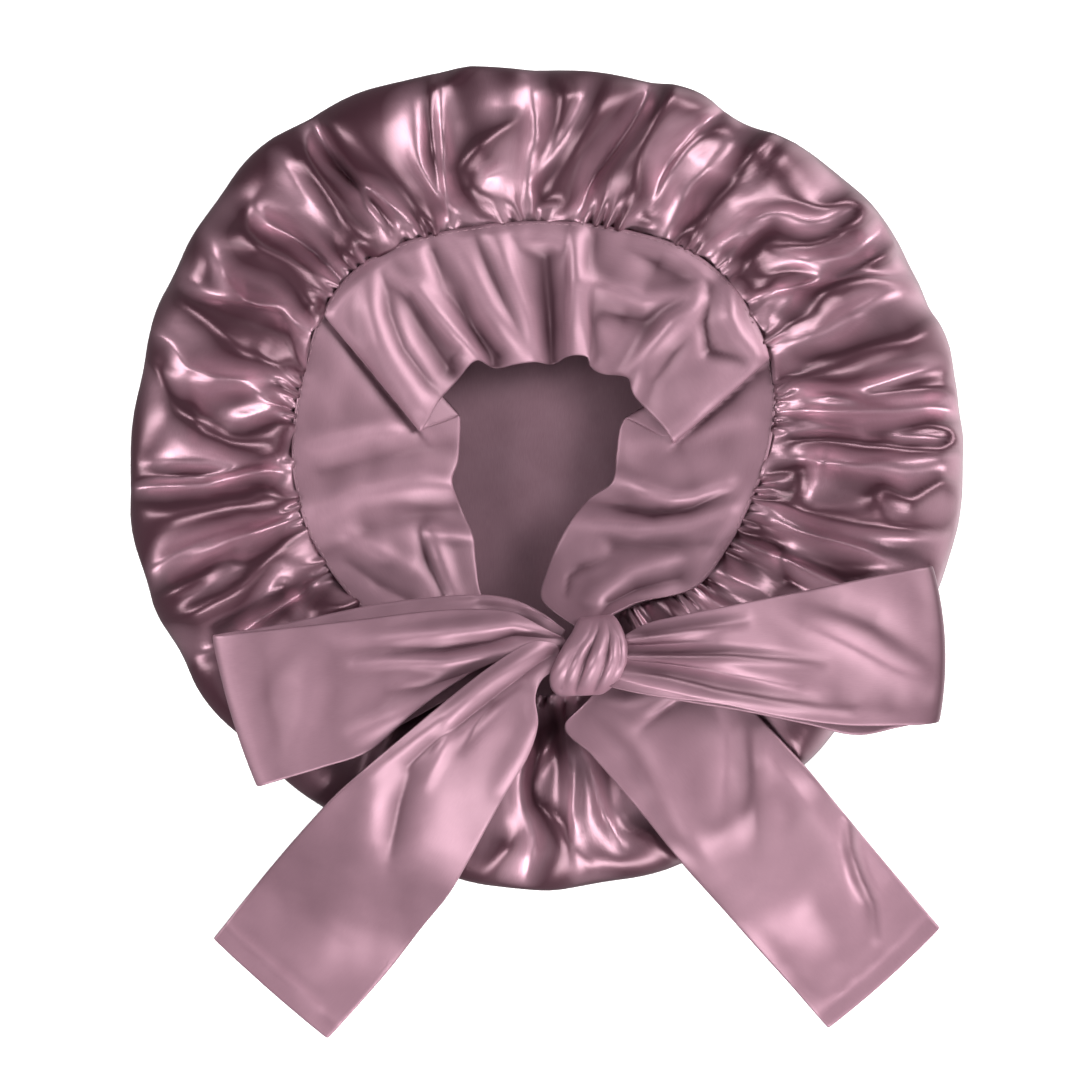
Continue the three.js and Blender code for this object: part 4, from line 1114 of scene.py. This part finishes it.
        (4, 3, ((28, -82, 1.7), (50, -86, 3.2), (72, -92, 3.2), (100, -97, 2.3), (130, -101, 0.9))),
        (2.4, 2.4, ((27, -87, -1.4), (42, -91, -2.1), (60, -95, -1.4), (76, -98, -0.5))),
        (7, 7, ((106, -52, 0.7), (124, -58, 2.3), (140, -65, 2.8), (158, -78, 1.1))),
        (6, 8, ((116, -67, -1.4), (134, -76, -2.5), (150, -84, -1.8), (163, -90, -0.7))),
        (8, 6, ((128, -97, 0.7), (148, -100, 1.6), (163, -101, 0.7))),
    ),
    "left tail": (
        ("left", "right", "line"),
        # Its rolled left edge, and the folds that the knot pulls in.
        (2.2, 2.2, ((1, -77, -2), (-20, -92.5, -3), (-34, -103.5, -3), (-49, -115, -2),
                    (-62, -126, -0.8))),
        (3, 3, ((-4, -74, 1), (-24, -87, 2), (-44, -102.5, 2.2), (-62, -117, 1.4), (-78, -130, 0.6))),
        (2.4, 2.4, ((-12, -90, -1), (-24, -98.5, -2.2), (-32, -108, -2), (-38, -118, -0.6))),
        (3, 3, ((-34, -98, 0.8), (-42, -106, 2.2), (-48, -122, 2), (-54, -134, 0.8))),
        (5, 3.5, ((-50, -112, 0.6), (-60, -126, -2), (-65, -142, -3.4), (-68.5, -158, -3),
                  (-71, -170, -1))),
        (7, 8, ((-74, -126, 0.8), (-77, -142, 2.2), (-79, -158, 1.8))),
        (12, 10, ((-46, -132, 0.6), (-50, -150, 1.6), (-55, -166, 1))),
        (13, 13, ((-60, -178, -1.4), (-68, -190, -1.6))),
        (13, 13, ((-84, -180, 1.2), (-96, -200, 1.8), (-108, -214, 1))),
        (3.5, 5, ((-5.5, -96, 1.6), (-6.6, -108, 2.2), (-12, -120, 1.8), (-21, -136, 1))),
        (3, 4, ((-142, -203, 0.6), (-118, -224, 1.2), (-104, -237, 0.8))),
        # The hem of the cut end.
        (1.5, 1.5, ((-146.4, -201.8, -0.5), (-112, -232, -0.5), (-94.5, -247.4, -0.5))),
    ),
    "right tail": (
        ("left", "right", "line"),
        (2, 2, ((60, -96, -1.6), (52, -101, -3), (44, -106.5, -2.2), (39, -110, -0.6))),
        (6, 8, ((72, -98, -1), (77, -112, -2.8), (77.5, -128, -3), (76, -144, -1.6))),
        (5, 5, ((88, -112, 1.2), (89, -128, 2.8), (89, -146, 2.2), (92, -164, 0.8))),
        (6, 6, ((96, -122, -1), (112, -142, -2.2), (127, -162, -2.2), (137, -190, -1))),
        (2.4, 2.8, ((133, -151, 2), (134.5, -165, 3), (139, -178, 3), (145, -190, 2.4),
                    (147, -206, 0.8))),
        (7, 5, ((20, -104, 1), (36, -120, 2), (46, -138, 2), (54, -156, 1.4), (66, -174, 1.2),
                (84, -192, 1))),
        (6, 6, ((52, -140, -0.8), (64, -160, -1.4), (76, -176, -0.8))),
        (5, 5, ((88, -200, 0.6), (106, -218, 1.2), (120, -232, 0.6))),
        (8, 8, ((110, -176, 0.8), (122, -198, 1.4), (132, -214, 0.8))),
        (4, 4, ((24, -96, 0.6), (34, -97, 1.6), (50, -92, 1))),
        # The hem of the cut end, and its puckers.
        (1.8, 1.8, ((171.3, -196.5, -0.8), (146, -221, -0.8), (120.8, -242, -0.8))),
        (1.4, 1.4, ((160, -203, 0.2), (155, -211, 0.5))),
        (1.4, 1.4, ((151, -212, 0.2), (146, -219, 0.6))),
        (1.4, 1.4, ((143, -219, 0.2), (139, -226, 0.6))),
        (1.4, 1.4, ((135, -225, 0.2), (131, -232, 0.5))),
    ),
    "knot": (
        ("left", "right", "line"),
        # They fan out from the top right, and curve away at the bottom.
        (1.5, 1.5, ((22.5, -60, -1), (21, -68, -2.6), (15.6, -79, -3), (11, -95, -2.2))),
        (1.3, 1.3, ((20.4, -61, -0.6), (17, -69, -1.9), (10, -79, -2.2), (5.4, -92, -1.4))),
        (1.5, 1.5, ((24, -61, -0.8), (26, -69, -2.4), (24.6, -81, -2.8), (18.5, -95, -2))),
        (1.3, 1.3, ((26, -63, -0.6), (30, -71, -1.8), (30, -80, -2), (25.5, -92, -1.3))),
        (2.2, 2.2, ((18.5, -66, 0.8), (13.5, -75, 1.8), (8.6, -88, 1.6))),
        (2.4, 2.4, ((23, -65, 0.8), (21, -76, 2.2), (15.5, -90, 1.8))),
        (1.8, 1.8, ((27, -67, 0.6), (27.6, -77, 1.5), (23, -90, 1.2))),
    ),
}

# How sharply a fold bends at its line: 2 is well rounded, 1 is a sharp edge.
CROWN_KEEN = 1.3
RIDGE_KEEN = 2
CREASE_KEEN = 1.5


def fold_heights(part, x, y):
    """The rise in metres that a part's folds give it at these places: none if it has no folds."""
    rise = np.zeros(np.shape(x))
    for left, right, line in FOLDS.get(part, ())[1:]:
        line = np.array(line, float) * MM
        nearest = np.full(np.shape(x), np.inf)
        height, side = np.zeros(np.shape(x)), np.ones(np.shape(x))
        for start, end in zip(line, line[1:]):
            along = end[:2] - start[:2]
            t = ((x - start[0]) * along[0] + (y - start[1]) * along[1]) / along.dot(along)
            t = np.clip(t, 0, 1)
            dx, dy = x - start[0] - t * along[0], y - start[1] - t * along[1]
            distance = np.hypot(dx, dy)
            closer = distance < nearest
            nearest = np.where(closer, distance, nearest)
            height = np.where(closer, start[2] + t * (end[2] - start[2]), height)
            side = np.where(closer, np.sign(along[0] * dy - along[1] * dx), side)
        away = nearest / (np.where(side > 0, left, right) * MM)
        keen = CROWN_KEEN if part == "crown" else RIDGE_KEEN if line[:, 2].sum() > 0 else CREASE_KEEN
        rise += height * np.exp(-(away**keen))
    return rise


def band_grid(lines):
    """The lines of a band piece resampled evenly along it: an array of rows by points by xyz."""
    middle = lines[:, lines.shape[1] // 2]
    places = lengths(middle) + 0.4 * (lengths(lines[:, 0]) + lengths(lines[:, -1]))
    places *= lengths(middle)[-1] / places[-1]
    count = max(int(places[-1] / BAND_STEP), 8)
    return smooth(lines, places, count), places


def ripple(points, size, seed):
    """Small uneven swells in metres, as cloth has between its folds."""
    chance = np.random.default_rng(seed)
    swell = np.zeros(points.shape[:2])
    for wave in SWELLS:
        turn, phase = chance.uniform(0, 2 * math.pi, 2)
        over = points[..., 0] * math.cos(turn) + points[..., 1] * math.sin(turn)
        along = points[..., 1] * math.cos(turn) - points[..., 0] * math.sin(turn)
        bend = 0.4 * np.sin(along / wave * 2.3 + phase)
        swell += wave / SWELLS[0] * np.sin(2 * math.pi * over / wave + phase + 2 * bend)
    return size * swell


def seam_place(outline, angle, setback):
    """A point of the crown's gathered edge, moved in by setback metres."""
    seam, _, top = [round_the_crown(column, angle) for column in outline]
    turn = np.radians(angle)
    radius = seam - setback
    return np.array([radius * np.cos(turn), radius * np.sin(turn), SEAM_HEIGHT * top])


def collar_lines():
    """The collar's lines as points, each from a tucked-down start at the seam to the free edge."""
    outline = crown_outline()
    table = columns(COLLAR, *COLLAR[0])
    v = np.linspace(0, 1, ACROSS)[:, None]
    lines = []
    for seam, setback, seam_z, edge_x, edge_y, edge_z, arch in table:
        start = seam_place(outline, seam, (setback - 0.6) * MM)
        low = min(start[2] + 0.0012, seam_z * MM)
        start[2] = seam_z * MM
        end = np.array([edge_x, edge_y, edge_z]) * MM
        line = start + (end - start) * v
        line[:, 2] += arch * MM * np.sin(math.pi * v[:, 0])
        from_seam = np.linalg.norm(line - line[0], axis=1)
        line[:, 2] -= (seam_z * MM - low) * (1 - ease(from_seam / TUCK)) * (setback < 3)
        lines.append(line)
    return np.array(lines)


def loft(table, heights):
    """Points on the lines of a table from the upper edge of the band to its lower edge."""
    v = np.linspace(0, 1, ACROSS)[:, None]
    lines = []
    for row, height in zip(columns(table, *table[0]), heights):
        upper = np.array([row[0], row[1], 0]) * MM
        lower = np.array([row[2], row[3], 0]) * MM
        line = upper + (lower - upper) * v
        out = np.array([upper[1] - lower[1], lower[0] - upper[0], 0])
        out *= np.sign(out[0] * (upper[0] + lower[0])) / np.linalg.norm(out)
        line += out * row[6] * MM * np.sin(math.pi * v) ** 0.8
        line[:, 2] += height * MM + row[5] * MM * np.sin(math.pi * v[:, 0])
        lines.append(line)
    return np.array(lines)


def make_band(name, points, material, stands_for, shade_depth):
    """A finished piece of the band, with a rounded edge, its thickness and painted shade in its
    creases.
    """
    mesh = cloth_mesh(name, points)
    mark_crease_shade(mesh, BAND_SHADE_STEPS, shade_depth)
    piece = add_piece(name, mesh, material, stands_for)
    give_thickness(piece, BAND_WALL).use_even_offset = False
    soften = piece.modifiers.new("soften", "SUBSURF")
    soften.levels = soften.render_levels = 1


def make_collar(material, thread):
    points, _ = band_grid(collar_lines())
    rise = fold_heights("collar", points[..., 0], points[..., 1])
    # The folds of the turned-in back don't go through to the layers of its pleats underneath.
    way = np.gradient(points, axis=0)
    turning = way[..., 0] * -points[..., 1] + way[..., 1] * points[..., 0]
    rise *= ease(turning / (np.abs(turning).mean() * 0.5))
    points[..., 2] += rise + ripple(points, COLLAR_RIPPLE, 3)
    stands_for = ["collar_back", "collar_left", "collar_right"]
    stitches = [make_seam_stitches(points, thread)]
    make_band("band_collar", points, material, stands_for, COLLAR_SHADE_DEPTH)


def make_loop(name, side, table, material, stands_for, seed):
    heights = columns(table, "height")[:, 0]
    points, places = band_grid(loft(table, heights))
    turn = int(np.argmax(np.abs(columns(table, "upperX")[:, 0])))
    at = np.linspace(0, places[-1], len(points))
    upper = ease((places[turn] - at) / LAYER_END)[:, None]
    lower = ease((at - places[turn]) / LAYER_END)[:, None]
    x, y = points[..., 0], points[..., 1]
    points[..., 2] += upper * fold_heights(side + " upper", x, y)
    points[..., 2] += lower * fold_heights(side + " lower", x, y)
    points[..., 2] += (upper + lower) * ripple(points, LOOP_RIPPLE, seed)
    make_band(name, points, material, [stands_for], LOOP_SHADE_DEPTH)


def make_tail(name, side, table, material, stands_for, seed):
    lift = columns(table, "lift")[:, 0]
    points, places = band_grid(loft(table, lift))
    radius, height = columns(DRAPE, *DRAPE[0]).T
    x, y = points[..., 0], points[..., 1]
    points[..., 2] += smooth_at(height, radius, np.hypot(x, y).ravel() / MM).reshape(x.shape) * MM
    points[..., 2] += fold_heights(side, x, y) + ripple(points, TAIL_RIPPLE, seed)
    points[..., 2] = np.maximum(points[..., 2], BAND_WALL / 2 + 0.0002)
    make_band(name, points, material, [stands_for], TAIL_SHADE_DEPTH)


def make_knot(material):
    t = np.linspace(-1, 1, KNOT_ACROSS)
    lines = []
    for left_x, left_y, right_x, right_y, height, sides in columns(KNOT, *KNOT[0]):
        share = (0.5 + 0.5 * np.sin(math.pi / 2 * t * 0.995))[:, None]
        ends = np.array([[left_x, left_y, height], [right_x, right_y, height]]) * MM
        line = ends[0] + (ends[1] - ends[0]) * share
        line[:, 2] -= sides * MM * (1 - np.sqrt(np.maximum(1 - np.abs(t) ** 3, 0)))
        lines.append(line)
    points, places = band_grid(np.array(lines))
    x, y = points[..., 0], points[..., 1]
    middle = 1 - np.abs(t) ** 6
    points[..., 2] += middle * fold_heights("knot", x, y)
    make_band("bow_knot_wrap", points, material, ["bow_knot"], KNOT_SHADE_DEPTH)


# ---------------------------------------------------------------- the seam

STITCH_PITCH = 0.0034
STITCH_LENGTH = 0.0026
THREAD_RADIUS = 0.00028
STITCHES_IN = 0.0015  # from the collar's sewn edge


def sewing_thread():
    """A thread of two plies, a little deeper than the cloth that it sews."""
    material, tree, shader = new_material("sewing thread")
    place = add_node(tree, "ShaderNodeTexCoord")
    fine = {"Scale": 1800, "Vector": place.outputs["Object"]}
    plies = add_node(tree, "ShaderNodeTexNoise", fine)
    colours = {
        "A": (0.09, 0.04, 0.055, 1),
        "B": (0.3, 0.16, 0.2, 1),
        "Factor": plies.outputs["Fac"],
    }
    tint = add_node(tree, "ShaderNodeMix", colours, data_type="RGBA")
    raised = {"Strength": 0.4, "Distance": THREAD_RELIEF, "Height": plies.outputs["Fac"]}
    relief = add_node(tree, "ShaderNodeBump", raised)
    finish = {
        "Base Color": tint.outputs["Result"],
        "Roughness": 0.5,
        "Normal": relief.outputs["Normal"],
    }
    set_inputs(tree, shader, finish)
    return material


def stitch_tree():
    """A row of stitches along a line: each one a slim rounded bar that follows the line."""
    tree = bpy.data.node_groups.new("row of stitches", "GeometryNodeTree")
    add_sockets(tree, "INPUT", "Geometry", ["Line"])
    add_sockets(tree, "INPUT", "Float", ["Pitch", "Stitch length", "Thread radius"])
    add_sockets(tree, "INPUT", "Material", ["Thread"])
    add_sockets(tree, "OUTPUT", "Geometry", ["Stitches"])
    given = add_node(tree, "NodeGroupInput").outputs
    curve = add_node(tree, "GeometryNodeMeshToCurve", {"Mesh": given["Line"]})
    spaced = {"Curve": curve.outputs["Curve"], "Length": given["Pitch"]}
    even = add_node(tree, "GeometryNodeResampleCurve", spaced, mode="LENGTH")
    coarse = {"Segments": 6, "Rings": 5, "Radius": 1}
    bar = add_node(tree, "GeometryNodeMeshUVSphere", coarse)
    halved = {0: given["Stitch length"], 1: 0.5}
    half = add_node(tree, "ShaderNodeMath", halved, operation="MULTIPLY")
    slim = {
        "X": half.outputs["Value"],
        "Y": given["Thread radius"],
        "Z": given["Thread radius"],
    }
    size = add_node(tree, "ShaderNodeCombineXYZ", slim)
    along = add_node(tree, "GeometryNodeInputTangent")
    ahead = {"Vector": along.outputs["Tangent"]}
    turned = add_node(tree, "FunctionNodeAlignRotationToVector", ahead, axis="X")
    placed = {
        "Points": even.outputs["Curve"],
        "Instance": bar.outputs["Mesh"],
        "Rotation": turned.outputs["Rotation"],
        "Scale": size.outputs["Vector"],
    }
    row = add_node(tree, "GeometryNodeInstanceOnPoints", placed)
    whole = {"Geometry": row.outputs["Instances"]}
    real = add_node(tree, "GeometryNodeRealizeInstances", whole)
    dressed = {"Geometry": real.outputs["Geometry"], "Material": given["Thread"]}
    sewn = add_node(tree, "GeometryNodeSetMaterial", dressed)
    add_node(tree, "NodeGroupOutput", {"Stitches": sewn.outputs["Geometry"]})
    return tree


def make_seam_stitches(points, thread):
    """Stitches on the collar beside the crown's gathers, all round but for the pleats' inner layers."""
    edge, inner = points[:, 0], points[:, 1]
    inward = (inner - edge) / np.linalg.norm(inner - edge, axis=1)[:, None]
    line = edge + STITCHES_IN * inward
    line[:, 2] += BAND_WALL / 2 + THREAD_RADIUS / 2
    angle = np.unwrap(np.arctan2(line[:, 1], line[:, 0]))
    line = line[angle >= np.maximum.accumulate(angle)]
    mesh = bpy.data.meshes.new("seam line")
    mesh.from_pydata(line.tolist(), [(i, i + 1) for i in range(len(line) - 1)], [])
    seam = add_object("seam line", mesh)
    row = seam.modifiers.new("row of stitches", "NODES")
    row.node_group = stitch_tree()
    values = {
        "Pitch": STITCH_PITCH,
        "Stitch length": STITCH_LENGTH,
        "Thread radius": THREAD_RADIUS,
        "Thread": thread,
    }
    for socket in row.node_group.interface.items_tree:
        if socket.name in values:
            row[socket.identifier] = values[socket.name]
    return add_piece("collar_seam_stitches", plain_mesh(seam), thread, [])


# ---------------------------------------------------------------- floor, light and camera

# Soft lights. The middle is what most of them face, the bow what the last one does.
LIGHTS = (
    ("name", "place", "size", "watts", "faces"),
    ("ceiling", (0.45, 0.75, 1.9), (0.9, 0.9), 4, "middle"),
    ("window right", (0.95, 0.4, 0.95), (0.6, 0.9), 25, "middle"),
    ("window left", (-1.0, 0.1, 0.8), (0.35, 0.8), 14, "middle"),
    ("front window", (0.1, -0.75, 0.5), (0.6, 0.25), 10, "bow"),
)
FLOOR_SIZE = 12
EYE_HEIGHT = 1.6
EYE_ASIDE = (-0.004, 0.005)  # from the middle
FRAMED = 0.486  # the width that the camera takes in


def add_light(name, place, size, watts, aim):
    lamp = bpy.data.lights.new(name, "AREA")
    lamp.shape = "RECTANGLE"
    lamp.size, lamp.size_y = size
    lamp.energy = watts
    holder = add_object(name, lamp)
    holder.location = place
    holder.rotation_euler = (Vector(aim) - Vector(place)).to_track_quat("-Z", "Y").to_euler()


def make_floor(height):
    """A pale floor. It shows white but doesn't light the cloth."""
    bpy.ops.mesh.primitive_plane_add(size=FLOOR_SIZE, location=(0, 0, height))
    floor = bpy.context.object
    floor.name = "floor"
    pale, tree, surface = new_material("pale floor")
    finish = {
        "Base Color": (0.7, 0.69, 0.69, 1),
        "Roughness": 0.9,
        "Emission Color": (1, 1, 1, 1),
        "Emission Strength": 0.7,
    }
    set_inputs(tree, surface, finish)
    floor.data.materials.append(pale)
    floor.visible_diffuse = floor.visible_glossy = False


def soft_room():
    """A room that is dim overhead and lighter low down, most of all on the right, so that the sides
    of the cloth stay clear."""
    world = bpy.data.worlds.new("soft room")
    world.use_nodes = True
    tree = world.node_tree
    way = add_node(tree, "ShaderNodeTexCoord")
    seen = {"Vector": way.outputs["Generated"]}
    toward = add_node(tree, "ShaderNodeSeparateXYZ", seen).outputs
    up, aside = toward["Z"], toward["X"]
    fade = {"Value": up, "From Min": -0.1, "From Max": 0.55, "To Min": 0.3, "To Max": 0.03}
    dim = add_node(tree, "ShaderNodeMapRange", fade)
    fade = {"Value": up, "From Min": -0.2, "From Max": 0.6, "To Min": 1.3, "To Max": 0}
    low_down = add_node(tree, "ShaderNodeMapRange", fade)
    fade = {"Value": aside, "From Min": 0.2, "From Max": 0.8, "To Max": 3}
    right = add_node(tree, "ShaderNodeMapRange", fade)
    parts = {0: low_down.outputs["Result"], 1: right.outputs["Result"], 2: dim.outputs["Result"]}
    strength = add_node(tree, "ShaderNodeMath", parts, operation="MULTIPLY_ADD")
    white = {"Color": (1, 1, 1, 1), "Strength": strength.outputs["Value"]}
    set_inputs(tree, tree.nodes["Background"], white)
    return world


def make_studio(low, high):
    """A pale floor, soft lights and a camera that looks straight down."""
    scene = bpy.context.scene
    scene.view_settings.view_transform = "Standard"
    make_floor(low.z)
    scene.world = soft_room()
    middle = ((low.x + high.x) / 2, (low.y + high.y) / 2, 0)
    faced = {"middle": middle, "bow": (0, -0.22, 0)}
    for name, place, size, watts, faces in LIGHTS[1:]:
        add_light(name, place, size, watts, faced[faces])
    camera = bpy.data.cameras.new("camera")
    camera.sensor_width = 36
    camera.lens = camera.sensor_width * EYE_HEIGHT / FRAMED
    eye = add_object("camera", camera)
    eye.location = (EYE_ASIDE[0], middle[1] + EYE_ASIDE[1], EYE_HEIGHT)
    scene.camera = eye


low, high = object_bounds()
weave = weave_group()
rose = ((0.25, 0.132, 0.168), (0.42, 0.252, 0.308))
dusk = ((0.2, 0.107, 0.138), (0.295, 0.17, 0.211))
crown_satin = satin("glossy satin", weave, *rose, 0.38, 0.5, 0.2, 0.2, crinkle_group(), 0.0006)
band_satin = satin("duller satin", weave, *dusk, 0.47, 0.35, 0.1, 0.15)
make_crown(crown_satin)
make_collar(band_satin, sewing_thread())
make_loop("bow_loop_left_cloth", "left loop", LEFT_LOOP, band_satin, "bow_loop_left", 5)
make_loop("bow_loop_right_cloth", "right loop", RIGHT_LOOP, band_satin, "bow_loop_right", 6)
make_tail("bow_tail_left_cloth", "left tail", LEFT_TAIL, band_satin, "bow_tail_left", 7)
make_tail("bow_tail_right_cloth", "right tail", RIGHT_TAIL, band_satin, "bow_tail_right", 8)
make_knot(band_satin)
make_studio(low, high)
